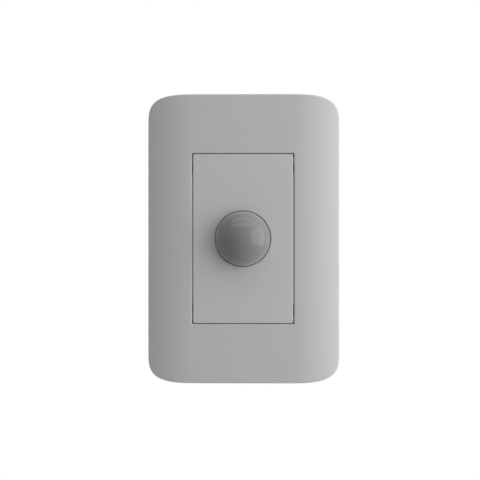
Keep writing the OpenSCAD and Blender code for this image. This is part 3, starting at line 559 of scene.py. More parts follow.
class Wiring:
    """A node tree, with short ways to place and wire its nodes."""

    def __init__(self, tree: Tree) -> None:
        """Takes the tree that is wired."""
        self.tree = tree

    def feed(self, node: Node, inputs: dict[Any, Any]) -> None:
        """Fills a node's inputs.

        Args:
            node: The node.
            inputs: A value, or a socket to wire from, for each input by name or number.
        """
        for key, value in inputs.items():
            if isinstance(value, Socket):
                self.tree.links.new(value, node.inputs[key])
            else:
                node.inputs[key].default_value = value

    def put(self, kind: str, inputs: dict[Any, Any] | None = None, **settings: Any) -> Any:
        """Places a shader node.

        Args:
            kind: The node's type, as it stands after the word ShaderNode.
            inputs: What its inputs are filled with.
            **settings: The node's own settings.

        Returns:
            The node's outputs.
        """
        node = self.tree.nodes.new("ShaderNode" + kind)
        for key, value in settings.items():
            setattr(node, key, value)
        self.feed(node, inputs or {})
        return node.outputs

    def math(self, operation: str, *values: Any, clamp: bool = False) -> Socket:
        """Works out values with a Math node."""
        return self.put("Math", dict(enumerate(values)), operation=operation, use_clamp=clamp)[0]

    def plus(self, first: Any, second: Any, clamp: bool = False) -> Socket:
        """Adds two values."""
        return self.math("ADD", first, second, clamp=clamp)

    def minus(self, first: Any, second: Any) -> Socket:
        """Takes the second value from the first."""
        return self.math("SUBTRACT", first, second)

    def times(self, first: Any, second: Any, clamp: bool = False) -> Socket:
        """Multiplies two values."""
        return self.math("MULTIPLY", first, second, clamp=clamp)

    def noise(self, vector: Any, scale: Any, detail: float = 2, rough: float = 0.5) -> Socket:
        """Gives the value of a Noise Texture."""
        inputs = {"Vector": vector, "Scale": scale, "Detail": detail, "Roughness": rough}
        return self.put("TexNoise", inputs)[0]

    def ramp(self, value: Any, low: float, high: float) -> Socket:
        """Maps a value from between low and high to between 0 and 1, with soft ends."""
        inputs = {"Value": value, "From Min": low, "From Max": high}
        return self.put("MapRange", inputs, interpolation_type="SMOOTHSTEP")[0]

    def mix(self, share: Any, first: Any, second: Any, blend: str = "MIX") -> Socket:
        """Mixes two colours."""
        return self.put("Mix", {0: share, 6: first, 7: second}, data_type="RGBA", blend_type=blend)[2]

    def split(self, vector: Socket) -> Any:
        """Gives a vector's X, Y and Z."""
        return self.put("SeparateXYZ", {0: vector})

    def object_point(self, stretch: Point = (1, 1, 1), turn: Point = (0, 0, 0)) -> Socket:
        """Gives the Object coordinates, stretched and turned by a Mapping node."""
        where = self.put("TexCoord")["Object"]
        return self.put("Mapping", {"Vector": where, "Rotation": turn, "Scale": stretch})[0]

    def bump(self, height: Any, depth: float) -> Socket:
        """Gives the normal of a height, with its depth in metres."""
        return self.put("Bump", {"Height": height, "Distance": depth, "Strength": 1})[0]

    def group(self, make: Callable[[], Tree], **inputs: Any) -> Any:
        """Places a shared node group, which is made at its first use, and gives its outputs."""
        tree = bpy.data.node_groups.get(make.__name__) or make()
        return self.put("Group", inputs, node_tree=tree)


def new_group(name: str, inputs: Sequence[str], outputs: Sequence[str]) -> tuple[Wiring, Any, Node]:
    """Starts a shader node group.

    Args:
        name: The group's name.
        inputs: The names of its inputs.
        outputs: The names of its outputs.

    Returns:
        The wiring, what comes into the group, and the node that its results go to.
    """
    tree = bpy.data.node_groups.new(name, "ShaderNodeTree")
    for way, labels in (("INPUT", inputs), ("OUTPUT", outputs)):
        for label in labels:
            kind = "NodeSocketColor" if label in COLOUR_SOCKETS else "NodeSocketFloat"
            tree.interface.new_socket(name=label, in_out=way, socket_type=kind)
    return Wiring(tree), tree.nodes.new("NodeGroupInput").outputs, tree.nodes.new("NodeGroupOutput")


def moulded_skin() -> Tree:
    """Makes the skin of moulded plastic: a fine tool grain, slow flow mottling and uneven gloss.

    Returns:
        The node group.
    """
    wires, into, out = new_group(
        "moulded_skin",
        ("Colour", "Mottle", "Grain", "Roughness", "Spread"),
        ("Colour", "Roughness", "Height"),
    )
    where, grain = wires.object_point(), into["Grain"]
    fine = wires.noise(where, grain, 3, 0.62)
    cloud = wires.noise(where, wires.times(grain, 0.016), 3)
    patch = wires.noise(where, wires.times(grain, 0.09))
    speck = wires.times(wires.ramp(fine, 0.62, 0.75), 0.35)
    share = wires.times(wires.plus(cloud, speck), into["Mottle"])
    uneven = wires.times(wires.minus(patch, 0.5), into["Spread"])
    colour = wires.mix(share, into["Colour"], opaque((0.7, 0.7, 0.71)), "MULTIPLY")
    wires.feed(out, {"Colour": colour, "Roughness": wires.plus(into["Roughness"], uneven), "Height": fine})
    return wires.tree


def handling_marks() -> Tree:
    """Makes hair scratches in two directions, in patches, as handling leaves them.

    Returns:
        The node group.
    """
    wires, into, out = new_group("handling_marks", ("Scale", "Amount"), ("Mask",))
    scale = into["Scale"]
    lines = []
    for turn, stretch in (((0.3, 0.5, 0.2), (1, 1, 0.02)), ((-0.5, -0.9, 0.4), (0.02, 1, 1))):
        streak = wires.noise(wires.object_point(stretch, turn), scale, 1)
        lines.append(wires.ramp(streak, 0.7, 0.76))
    patch = wires.ramp(wires.noise(wires.object_point(), wires.times(scale, 0.04)), 0.5, 0.7)
    marks = wires.times(wires.math("MAXIMUM", *lines), patch)
    wires.feed(out, {"Mask": wires.times(marks, into["Amount"], clamp=True)})
    return wires.tree


def settled_dust() -> Tree:
    """Makes a film of dust on what faces up.

    Returns:
        The node group.
    """
    wires, into, out = new_group("settled_dust", ("Scale", "Amount"), ("Mask",))
    up = wires.ramp(wires.split(wires.put("NewGeometry")["Normal"])["Z"], 0.35, 0.95)
    fleck = wires.ramp(wires.noise(wires.object_point(), into["Scale"], 4, 0.7), 0.4, 0.75)
    wires.feed(out, {"Mask": wires.times(wires.times(up, fleck), into["Amount"], clamp=True)})
    return wires.tree


def drawn_metal() -> Tree:
    """Makes rolled, drawn or plated metal: fine lines along Y, dull patches and small pits.

    Returns:
        The node group.
    """
    wires, into, out = new_group(
        "drawn_metal",
        ("Colour", "Dull", "Tarnish", "Lines", "Roughness"),
        ("Colour", "Roughness", "Height"),
    )
    lines = into["Lines"]
    streak = wires.noise(wires.object_point((1, 0.03, 1)), lines)
    patch = wires.ramp(wires.noise(wires.object_point(), wires.times(lines, 0.06), 4, 0.6), 0.45, 0.72)
    pits = wires.ramp(wires.noise(wires.object_point(), wires.times(lines, 0.8), 1), 0.68, 0.76)
    share = wires.times(wires.math("MAXIMUM", patch, pits), into["Tarnish"], clamp=True)
    uneven = wires.plus(wires.times(streak, 0.12), wires.times(share, 0.25))
    wires.feed(
        out,
        {
            "Colour": wires.mix(share, into["Colour"], into["Dull"]),
            "Roughness": wires.plus(into["Roughness"], uneven),
            "Height": wires.minus(streak, wires.times(pits, 0.8)),
        },
    )
    return wires.tree


@dataclass(frozen=True)
class Finish:
    """What every finish has: a name, a slot name, a colour and a roughness."""

    name: str
    slot: str
    colour: Colour
    roughness: float

    def material(self) -> bpy.types.Material:
        """Builds the finish's material once.

        Returns:
            The material.
        """
        found = bpy.data.materials.get(self.name)
        if found:
            return found
        made = bpy.data.materials.new(self.name)
        made.use_nodes = True
        made.diffuse_color = opaque(self.colour)
        self.wire(Wiring(made.node_tree), made.node_tree.nodes["Principled BSDF"])
        return made

    def wire(self, wires: Wiring, shader: Node) -> None:
        """Wires the finish's nodes to its shader.

        Args:
            wires: The material's wiring.
            shader: Its shader.
        """
        raise NotImplementedError

    def skin(self, wires: Wiring, mottle: float, grain: float, spread: float) -> Any:
        """Places the skin of moulded plastic in this finish's colour and roughness.

        Args:
            wires: The material's wiring.
            mottle: How strong its mottling is.
            grain: The scale of its grain.
            spread: How uneven its gloss is.

        Returns:
            The skin's colour, roughness and height.
        """
        values = {"Mottle": mottle, "Grain": grain, "Spread": spread, "Roughness": self.roughness}
        return wires.group(moulded_skin, Colour=opaque(self.colour), **values)


@dataclass(frozen=True)
class Moulded(Finish):
    """Moulded plastic, from a satin grain to a polish."""

    grain: float = 3200
    depth: float = 0.012 * MM
    mottle: float = 0.14
    spread: float = 0.14
    marks: float = 0.35
    dust: float = 0.12
    gloss: float = 0.5
    sheen: float = 0
    sheen_roughness: float = 0.5
    mark_scale: float = 900
    mark_rough: float = 0.12
    mark_depth: float = 0.5
    dust_scale: float = 1500
    dust_rough: float = 0.2

    def wire(self, wires: Wiring, shader: Node) -> None:
        """Wires the grain, the marks of handling and the dust.

        Args:
            wires: The material's wiring.
            shader: Its shader.
        """
        skin = self.skin(wires, self.mottle, self.grain, self.spread)
        marks = wires.group(handling_marks, Scale=self.mark_scale, Amount=self.marks)["Mask"]
        dust = wires.group(settled_dust, Scale=self.dust_scale, Amount=self.dust)["Mask"]
        rough = wires.plus(skin["Roughness"], wires.times(marks, self.mark_rough))
        height = wires.minus(skin["Height"], wires.times(marks, self.mark_depth))
        inputs = {
            "Base Color": wires.mix(dust, skin["Colour"], opaque(DUST)),
            "Roughness": wires.plus(rough, wires.times(dust, self.dust_rough), clamp=True),
            "Specular IOR Level": self.gloss,
            "Sheen Weight": self.sheen,
            "Sheen Roughness": self.sheen_roughness,
            "Normal": wires.bump(height, self.depth),
        }
        wires.feed(shader, inputs)


@dataclass(frozen=True)
class Metal(Finish):
    """Drawn, rolled or plated metal."""

    dull: Colour = (0.3, 0.29, 0.28)
    tarnish: float = 0.5
    lines: float = 2500
    depth: float = 0.006 * MM
    marks: float = 0.6
    mark_scale: float = 1400
    mark_rough: float = 0.15

    def wire(self, wires: Wiring, shader: Node) -> None:
        """Wires the drawn lines, the dull patches and the marks.

        Args:
            wires: The material's wiring.
            shader: Its shader.
        """
        values = {"Tarnish": self.tarnish, "Lines": self.lines, "Roughness": self.roughness}
        bar = wires.group(drawn_metal, Colour=opaque(self.colour), Dull=opaque(self.dull), **values)
        marks = wires.group(handling_marks, Scale=self.mark_scale, Amount=self.marks)["Mask"]
        inputs = {
            "Base Color": bar["Colour"],
            "Roughness": wires.plus(bar["Roughness"], wires.times(marks, self.mark_rough), clamp=True),
            "Metallic": 1,
            "Normal": wires.bump(bar["Height"], self.depth),
        }
        wires.feed(shader, inputs)


@dataclass(frozen=True)
class Laminate(Finish):
    """A circuit board: solder resist over copper tracks, with bare pads."""

    track: Colour = (0.05, 0.3, 0.11)
    pad: Colour = (0.62, 0.6, 0.55)
    pitch: float = 330
    scatter: float = 0.85
    weave: float = 4000
    depth: float = 0.035 * MM

    def wire(self, wires: Wiring, shader: Node) -> None:
        """Wires the tracks, the pads and the weave under the resist.

        Args:
            wires: The material's wiring.
            shader: Its shader.
        """
        cells = {"Vector": wires.object_point((1, 0, 1)), "Scale": self.pitch, "Randomness": self.scatter}
        lines = wires.put("TexVoronoi", cells, feature="DISTANCE_TO_EDGE")["Distance"]
        spots = wires.put("TexVoronoi", cells, distance="MANHATTAN")["Distance"]
        tracks = wires.minus(1, wires.ramp(lines, 0.05, 0.07))
        pads = wires.minus(1, wires.ramp(spots, 0.12, 0.14))
        weave = wires.noise(wires.object_point((1, 1, 0.2)), self.weave, 1)
        resist = wires.mix(wires.times(weave, 0.35), opaque(self.colour), opaque(self.colour, 0.6))
        tracked = wires.mix(tracks, resist, opaque(self.track))
        height = wires.plus(wires.math("MAXIMUM", tracks, pads), wires.times(weave, 0.1))
        inputs = {
            "Base Color": wires.mix(pads, tracked, opaque(self.pad)),
            "Metallic": wires.times(pads, 0.9),
            "Roughness": wires.plus(self.roughness, wires.times(weave, 0.15)),
            "Normal": wires.bump(height, self.depth),
        }
        wires.feed(shader, inputs)


@dataclass(frozen=True)
class Wound(Finish):
    """Enamelled wire wound in even turns about Y."""

    wire_d: float = 0.16 * MM
    enamel: Colour = (0.32, 0.1, 0.03)
    metallic: float = 0.9

    def wire(self, wires: Wiring, shader: Node) -> None:
        """Wires the turns, a little uneven, with painted shade that darkens the grooves between them, and the
        enamel's tone.

        Args:
            wires: The material's wiring.
            shader: Its shader.
        """
        sway = wires.times(wires.noise(wires.object_point(), 350), 0.5 * self.wire_d)
        phase = wires.times(wires.plus(wires.split(wires.object_point())["Y"], sway), math.pi / self.wire_d)
        crown = wires.math("ABSOLUTE", wires.math("SINE", phase))
        tone = wires.noise(wires.object_point((1, 8, 1)), 600)
        # painted shade: the grooves between the turns are darkened to 0.35 of the wire's colour
        groove = wires.mix(crown, opaque(self.colour, 0.35), opaque(self.colour))
        inputs = {
            "Base Color": wires.mix(wires.times(tone, 0.3), groove, opaque(self.enamel)),
            "Roughness": wires.plus(self.roughness, wires.times(tone, 0.15)),
            "Metallic": self.metallic,
            "Normal": wires.bump(crown, 0.5 * self.wire_d),
        }
        wires.feed(shader, inputs)


@dataclass(frozen=True)
class Sleeved(Finish):
    """A can in a shrink sleeve, with a pale polarity band and a bare metal top."""

    band: Colour = (0.55, 0.57, 0.6)
    can: Colour = (0.72, 0.72, 0.73)
    depth: float = 0.01 * MM

    def wire(self, wires: Wiring, shader: Node) -> None:
        """Wires the sleeve, the band on one side and the can's bare ends.

        Args:
            wires: The material's wiring.
            shader: Its shader.
        """
        facing = wires.split(wires.put("NewGeometry")["Normal"])
        band = wires.ramp(wires.times(facing["X"], -1), 0.86, 0.88)
        bare = wires.ramp(wires.math("ABSOLUTE", facing["Y"]), 0.8, 0.95)
        skin = self.skin(wires, mottle=0.3, grain=1800, spread=0.12)
        sleeve = wires.mix(band, skin["Colour"], opaque(self.band))
        inputs = {
            "Base Color": wires.mix(bare, sleeve, opaque(self.can)),
            "Metallic": bare,
            "Roughness": skin["Roughness"],
            "Normal": wires.bump(skin["Height"], self.depth),
        }
        wires.feed(shader, inputs)


@dataclass(frozen=True)
class LightCell(Finish):
    """A coated ceramic disc, with a light-sensitive track that winds across its face."""

    track: Colour = (0.5, 0.12, 0.03)
    waves: float = 5200
    sway: float = 0.55 * MM
    rows: float = 4200
    depth: float = 0.02 * MM

    def wire(self, wires: Wiring, shader: Node) -> None:
        """Wires the winding track and the ceramic's grain.

        Args:
            wires: The material's wiring.
            shader: Its shader.
        """
        spot = wires.split(wires.object_point())
        wave = wires.times(wires.math("SINE", wires.times(spot["X"], self.waves)), self.sway)
        line = wires.math("SINE", wires.times(wires.plus(spot["Z"], wave), self.rows))
        track = wires.ramp(line, 0.1, 0.35)
        skin = self.skin(wires, mottle=0.3, grain=5200, spread=0.15)
        inputs = {
            "Base Color": wires.mix(track, skin["Colour"], opaque(self.track)),
            "Roughness": skin["Roughness"],
            "Normal": wires.bump(wires.plus(skin["Height"], track), self.depth),
        }
        wires.feed(shader, inputs)


# The finishes of this switch

PLATE = Moulded("satin_plate_plastic", "plate_plastic", (0.387, 0.387, 0.387), 0.42)
INSERT = Moulded("satin_insert_plastic", "insert_plastic", (0.401, 0.401, 0.401), 0.42)
LENS = Moulded(
    "polished_lens_plastic", "lens_plastic", (0.149, 0.149, 0.149), 0.028,
    depth=0.001 * MM, spread=0.015, marks=0.2, dust=0.05, gloss=0.21, sheen=0.33,
)
FRAME = Moulded("moulded_frame_plastic", "frame_plastic", (0.5, 0.5, 0.49), 0.48)
HOUSING = Moulded("moulded_housing_plastic", "housing_plastic", (0.46, 0.46, 0.45), 0.5)
TERMINAL = Moulded("terminal_plastic", "terminal_plastic", (0.05, 0.05, 0.055), 0.45)
BLACK = Moulded("black_plastic", "black_plastic", (0.03, 0.03, 0.031), 0.42, mottle=0.4)
WHITE = Moulded("white_plastic", "white_plastic", (0.78, 0.77, 0.73), 0.4)
BOARD = Laminate("green_board", "board_laminate", (0.02, 0.15, 0.055), 0.32)
CAN = Metal("nickel_can", "nickel_can", (0.62, 0.6, 0.56), 0.26, (0.42, 0.39, 0.34), 0.4)
WINDOW = Moulded("filter_window", "filter_window", (0.02, 0.018, 0.026), 0.08, depth=0.001 * MM, spread=0.05)
CELL = LightCell("photocell_ceramic", "photocell_ceramic", (0.66, 0.55, 0.36), 0.4)
SLEEVE = Sleeved("capacitor_sleeve", "capacitor_sleeve", (0.02, 0.03, 0.08), 0.3)
FILM = Moulded("film_capacitor_case", "film_case", (0.55, 0.38, 0.05), 0.3, mottle=0.25)
EPOXY = Moulded(
    "dipped_blue_epoxy", "blue_epoxy", (0.03, 0.09, 0.3), 0.22, grain=700, depth=0.06 * MM, mottle=0.3
)
RELAY = Moulded("relay_case", "relay_case", (0.03, 0.1, 0.32), 0.3, mottle=0.25)
TRIMMER = Moulded("trimmer_case", "trimmer_case", (0.03, 0.1, 0.34), 0.4, mottle=0.25)
WIRE = Wound("enamelled_copper_wire", "copper_wire", (0.58, 0.23, 0.09), 0.28)
COPPER = Metal("rolled_copper_strip", "copper_strip", (0.68, 0.36, 0.2), 0.26, (0.36, 0.17, 0.09), 0.5)
BRASS = Metal("plain_brass", "brass_metal", (0.66, 0.49, 0.19), 0.25, (0.36, 0.25, 0.1), 0.5)
IRON = Metal("plated_soft_iron", "soft_iron", (0.44, 0.44, 0.45), 0.34, (0.24, 0.23, 0.22), 0.5)
TIN = Metal("tinned_pin", "tinned_pin", (0.66, 0.66, 0.66), 0.22, (0.4, 0.4, 0.39), 0.4)
ZINC = Metal("zinc_plated_steel", "zinc_steel", (0.6, 0.61, 0.63), 0.24, (0.36, 0.36, 0.37), 0.55)

CARRIED_OVER: dict[Finish, tuple[str, ...]] = {
    BLACK: (
        "lens_retainer", "sensor_chip", "header_socket", "header_strip", "rectifier_diodes", "relay_base",
    ),
    WHITE: ("relay_bobbin",),
    BOARD: ("sensor_board", "power_board"),
    CAN: ("pir_can",),
    WINDOW: ("pir_window",),
    CELL: ("photocell",),
    SLEEVE: ("sensor_capacitors", "filter_capacitor"),
    FILM: ("dropper_capacitor",),
    EPOXY: ("varistor",),
    RELAY: ("relay_cover",),
    TRIMMER: ("time_trimmer_base", "light_trimmer_base"),
    WIRE: ("relay_winding",),
    COPPER: ("relay_moving_contact", "relay_fixed_contact"),
    BRASS: ("header_pins", "terminal_clamps"),
    IRON: ("relay_core", "relay_yoke", "relay_armature"),
    TIN: ("relay_pins",),
    ZINC: ("housing_screws", "board_screws"),
}


# The pieces


def dress(obj: Piece, finish: Finish) -> None:
    """Gives a piece one finish."""
    obj.data.materials.clear()
    obj.data.materials.append(finish.material())


def place(obj: Piece, finish: Finish, body: str, *nodes: str) -> None:
    """Dresses a finished piece and puts it in the frame.

    Args:
        obj: The piece.
        finish: What it is made of.
        body: The body it moves with.
        *nodes: The solids it stands for.
    """
    dress(obj, finish)
    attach(obj, body)
    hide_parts(*nodes)
    LOG.info("%s: %d faces, on %s, for %s", obj.name, len(obj.data.polygons), body, ", ".join(nodes))


@dataclass
class CoverPlate:
    """The outer plate: a moulded shell with curved flanks, soft corners and a window."""

    width: float = 78 * MM
    height: float = 118 * MM
    depth: float = 9 * MM
    wall: float = 2 * MM
    flat_half: float = 21.1 * MM
    flank_bend: float = 0.0205 / MM
    corner_w: float = 21.5 * MM
    corner_h: float = 12.75 * MM
    corner_power: float = 3.4
    rim_radius: float = 0.5 * MM
    rear_break: float = 0.25 * MM
    window_w: float = 41.7 * MM
    window_h: float = 69.58 * MM
    window_radius: float = 0.6 * MM
    window_edge: float = 0.5 * MM
    outline_steps: tuple[int, int, int] = (26, 18, 16)
    rim_steps: int = 7
    rim_passes: int = 3
    front_steps: int = 20
    edge_steps: int = 4
    inside_steps: int = 10
    rebate: Box = (mm(-21.9, 21.9), mm(-8.2, -6.2), mm(-33.3, 33.3))
    skirt: Box = (mm(-20, 20), mm(-7.4, -3.6), mm(34.9, 36.1))
    peg_at: Spot = mm(26, 44)
    peg: Profile = profile((2, -7.6), (2, -0.9), (1.85, -0.55), (1.5, -0.4))
    rib_end: float = 33 * MM
    rib_y: Spot = mm(-7.2, -5.5)
    rib_half: float = 0.6 * MM
    rib_edge: float = 0.25 * MM
    shade: float = 40

    def _slope(self, x: float) -> float:
        """Says how steeply the front falls at an X."""
        return self.flank_bend * max(0.0, abs(x) - self.flat_half)

    def _front(self, x: float, wall: float = 0) -> float:
        """Gives the height of the front above the wall's plane at an X, or of the inside below a wall."""
        out = max(0.0, abs(x) - self.flat_half)
        return self.depth - self.flank_bend * out**2 / 2 - wall * math.hypot(1, self._slope(x))

    def _quarter(self, half: Spot, corner: Spot, power: float) -> list[tuple[float, float, float, float]]:
        """Draws a quarter of an outline, from the right side to the top.

        Args:
            half: Half of its width and of its height.
            corner: The width and the height of its corner curve.
            power: How square that curve is, where an ellipse has 2.

        Returns:
            X and Z of each point, and the normal there.
        """
        side, curve, top = self.outline_steps
        (half_w, half_h), (corner_w, corner_h) = half, corner
        x_in, z_in = half_w - corner_w, half_h - corner_h
        points = [(half_w, z_in * k / side, 1.0, 0.0) for k in range(side)]
        for turn in quarter_turns(curve):
            u, v = abs(math.cos(turn)) ** (2 / power), abs(math.sin(turn)) ** (2 / power)
            normal = Vector((u ** (power - 1) / corner_w, v ** (power - 1) / corner_h)).normalized()
            points.append((x_in + corner_w * u, z_in + corner_h * v, normal.x, normal.y))
        return points + [(x_in * (1 - k / top), half_h, 0.0, 1.0) for k in range(1, top + 1)]

    def _outline(self) -> list[tuple[float, float, float, float]]:
        """Draws a quarter of the plate's outline."""
        half = (self.width / 2, self.height / 2)
        return self._quarter(half, (self.corner_w, self.corner_h), self.corner_power)

    def _window(self, grow: float) -> list[Spot]:
        """Draws a quarter of the window's outline, point for point with the plate's.

        Args:
            grow: How far the outline lies outside the window.

        Returns:
            X and Z of each point.
        """
        half = (self.window_w / 2 + grow, self.window_h / 2 + grow)
        radius = self.window_radius + grow
        return [(x, z) for x, z, _, _ in self._quarter(half, (radius, radius), 2)]

    def _rim(self, part: float) -> Ring:
        """Draws a quarter ring on the rounded rim.

        Args:
            part: Its place on the rounding, from the wall at 0 to the front at 1.

        Returns:
            The quarter ring.
        """
        radius = self.rim_radius
        ring = []
        for x, z, nx, nz in self._outline():
            inset, slope = radius, 0.0
            for _ in range(self.rim_passes):
                slope = math.atan(self._slope(x - nx * inset) * nx)
                inset = radius * (1 - math.sin(slope))
            centre = self._front(x - nx * inset) - radius * math.cos(slope)
            turn = part * (QUARTER - slope)
            step = radius * (1 - math.cos(turn))
            ring.append((x - nx * step, -centre - radius * math.sin(turn), z - nz * step))
        return ring

    def _wall(self, inset: float, y: float) -> Ring:
        """Draws a quarter ring of the outline, set in by a distance, at one Y."""
        return [(x - nx * inset, y, z - nz * inset) for x, z, nx, nz in self._outline()]

    def _across(self, first: Ring, last: list[Spot], count: int, wall: float) -> list[Ring]:
        """Draws quarter rings over the front or the inside, from one outline to another.

        Args:
            first: The quarter ring before them.
            last: X and Z of the last one's points.
            count: How many there are.
            wall: How thick the wall above them is.

        Returns:
            The quarter rings.
        """
        rings = []
        for part in (k / count for k in range(1, count + 1)):
            pairs = zip(first, last)
            spots = [(x0 + (x1 - x0) * part, z0 + (z1 - z0) * part) for (x0, _, z0), (x1, z1) in pairs]
            rings.append([(x, -self._front(x, wall), z) for x, z in spots])
        return rings

    @staticmethod
    def _whole(quarter: Ring) -> Ring:
        """Mirrors a quarter ring to the whole one.

        Args:
            quarter: The quarter ring, from the right side to the top.

        Returns:
            The whole ring.
        """
        back = quarter[::-1]
        left = [(-x, y, z) for x, y, z in back[1:]] + [(-x, y, -z) for x, y, z in quarter[1:]]
        return quarter + left + [(x, y, -z) for x, y, z in back[1:-1]]

    def _shell(self) -> Piece:
        """Lofts the shell: rim, wall, rounded edge, front, window, inside.

        Returns:
            The shell.
        """
        edge, wall = self.window_edge, self.wall
        quarters = [self._wall(self.rear_break, 0), self._wall(0, -self.rear_break)]
        quarters += [self._rim(k / self.rim_steps) for k in range(self.rim_steps + 1)]
        quarters += self._across(quarters[-1], self._window(edge), self.front_steps, 0)
        for turn in quarter_turns(self.edge_steps)[1:]:
            y = -self.depth + edge * (1 - math.cos(turn))
            quarters.append([(x, y, z) for x, z in self._window(edge * (1 - math.sin(turn)))])
        inner = [(x, -self.depth + wall, z) for x, z in self._window(0)]
        far = [(x - nx * wall, z - nz * wall) for x, z, nx, nz in self._outline()]
        quarters += [inner, *self._across(inner, far, self.inside_steps, wall)]
        quarters += [self._wall(wall, 0), self._wall(self.rear_break, 0)]
        return loft("trim_plate", [self._whole(quarter) for quarter in quarters], Ends.JOINED)

    def _peg(self, x: float, z: float) -> Piece:
        """Models a peg, with the rib that stiffens it.

        Args:
            x: Its place on X.
            z: Its place on Z.

        Returns:
            The peg.
        """
        peg = turned("peg", self.peg, (x, z), sides=40)
        rib = add_block("rib", (x, math.copysign(self.rib_end, x)), self.rib_y, about(z, self.rib_half))
        return work(peg, Work.FUSE, soften(rib, self.rib_edge, sharp))

    def build(self) -> None:
        """Models the plate with its rebate, skirts, ribs and pegs, and dresses it."""
        plate = self._shell()
        work(plate, Work.CUT, add_block("rebate", *self.rebate))
        parts = [self._peg(*spot) for spot in corners(self.peg_at)]
        parts += [soften(skirt, self.rib_edge, sharp) for skirt in add_blocks("skirt", self.skirt, in_z=BOTH)]
        work(plate, Work.FUSE, *parts)
        place(smooth(plate, self.shade), PLATE, "plate", "cover_plate")


@dataclass
class SensorFront:
    """The front of the module, flush in the plate's window, and the lens that stands in it."""

    half_w: float = 20.45 * MM
    half_h: float = 34.55 * MM
    front: float = -9 * MM
    floor: float = -7 * MM
    rear: float = -2.2 * MM
    wall: float = 2 * MM
    corner: float = 0.7 * MM
    edge: float = 0.3 * MM
    hole: float = 11.4 * MM
    hole_edge: float = 0.25 * MM
    hole_steps: int = 5
    flange_x: Spot = mm(20.2, 21.6)
    flange_y: Spot = mm(-8.05, -6.85)
    ledge_x: Spot = mm(20.1, 20.8)
    ledge_y: Spot = mm(-8.3, -7.9)
    long_run: Spot = mm(-26.8, 26.8)
    end_run: Spot = mm(31.2, 33)
    seat: Spot = mm(14.35, 13.15)
    seat_y: Spot = mm(-7.1, -5.2)
    post: Spot = mm(2.2, 0.8)
    post_y: Spot = mm(-7.1, -2.4)
    post_at: Spot = mm(13, 22)
    boss: Spot = mm(2.9, 1.1)
    boss_y: Spot = mm(-7.1, -2.2)
    boss_at: Spot = mm(15.5, 29.55)
    lens_radius: float = 11.2 * MM
    lens_wall: float = 0.8 * MM
    lens_sides: int = 128
    lens_play: float = -0.03 * MM
    lens_shade: float = 40
    rim_radius: float = 13 * MM

    def _hole(self) -> list[Spot]:
        """Draws the profile of what is cut out for the lens, with a rounded lip.

        Returns:
            Radius and Y of each point.
        """
        lip = []
        for turn in quarter_turns(self.hole_steps):
            radius = self.hole + self.hole_edge * (1 - math.sin(turn))
            lip.append((radius, self.front + self.hole_edge * (1 - math.cos(turn))))
        return [(lip[0][0], self.front - MM), *lip, (self.hole, self.floor + MM)]

    def _fascia(self) -> Piece:
        """Models the fascia: a tray with a round hole, side flanges, a lens seat, posts and bosses.

        Returns:
            The fascia.
        """
        box = (about(0, self.half_w), (self.front, self.rear), about(0, self.half_h))
        tray = hollow(add_block("sensor_front", *box), 1, self.wall, self.floor - self.rear)
        soften(tray, self.corner, along_depth, segments=5)
        soften(tray, self.edge, in_plane(self.front), segments=4, limit=False)
        work(tray, Work.CUT, turned("hole", self._hole(), sides=self.lens_sides))
        for name, x, y in (("flange", self.flange_x, self.flange_y), ("ledge", self.ledge_x, self.ledge_y)):
            strips = add_blocks(name, (x, y, self.long_run), BOTH)
            strips += add_blocks(name, (x, y, self.end_run), BOTH, BOTH)
            work(tray, Work.FUSE, *strips)
        stubs = [tube("seat", self.seat, self.seat_y, (0, 0), sides=96)]
        stubs += [tube("post", self.post, self.post_y, spot, sides=32) for spot in corners(self.post_at)]
        stubs += [tube("boss", self.boss, self.boss_y, spot, sides=40) for spot in corners(self.boss_at)]
        work(tray, Work.FUSE, *stubs)
        return smooth(tray)

    def _lens(self) -> Piece:
        """Models the lens: a half ball with a short neck and a rim, given its wall.

        Returns:
            The lens.
        """
        pick()
        bpy.ops.mesh.primitive_uv_sphere_add(
            segments=self.lens_sides,
            ring_count=self.lens_sides // 2,
            radius=self.lens_radius,
            location=(0, self.front, 0),
            rotation=(QUARTER, 0, 0),
        )
        lens = named("lens")
        with editing(lens, whole=True):
            bpy.ops.mesh.bisect(plane_co=(0, self.front, 0), plane_no=(0, 1, 0), clear_outer=True)
            choose(lens, Grip.EDGE, lambda edge: edge.is_boundary)
            neck = {"value": (0, self.floor - self.front, 0)}
            bpy.ops.mesh.extrude_region_move(TRANSFORM_OT_translate=neck)
            bpy.ops.mesh.extrude_region()
            grow = self.rim_radius / self.lens_radius
            bpy.ops.transform.resize(value=(grow, 1, grow), center_override=(0, self.floor, 0))
        pick(outward(lens))
        step = lens.modifiers.new("wall", "SOLIDIFY")
        step.thickness, step.offset, step.use_even_offset = self.lens_wall, -1, True
        bpy.ops.object.modifier_apply(modifier=step.name)
        lens.location.x = self.lens_play
        return smooth(named("lens"), self.lens_shade)

    def build(self) -> None:
        """Models and dresses the fascia and the lens."""
        place(self._fascia(), INSERT, "base", "module_fascia")
        place(self._lens(), LENS, "base", "lens_dome")


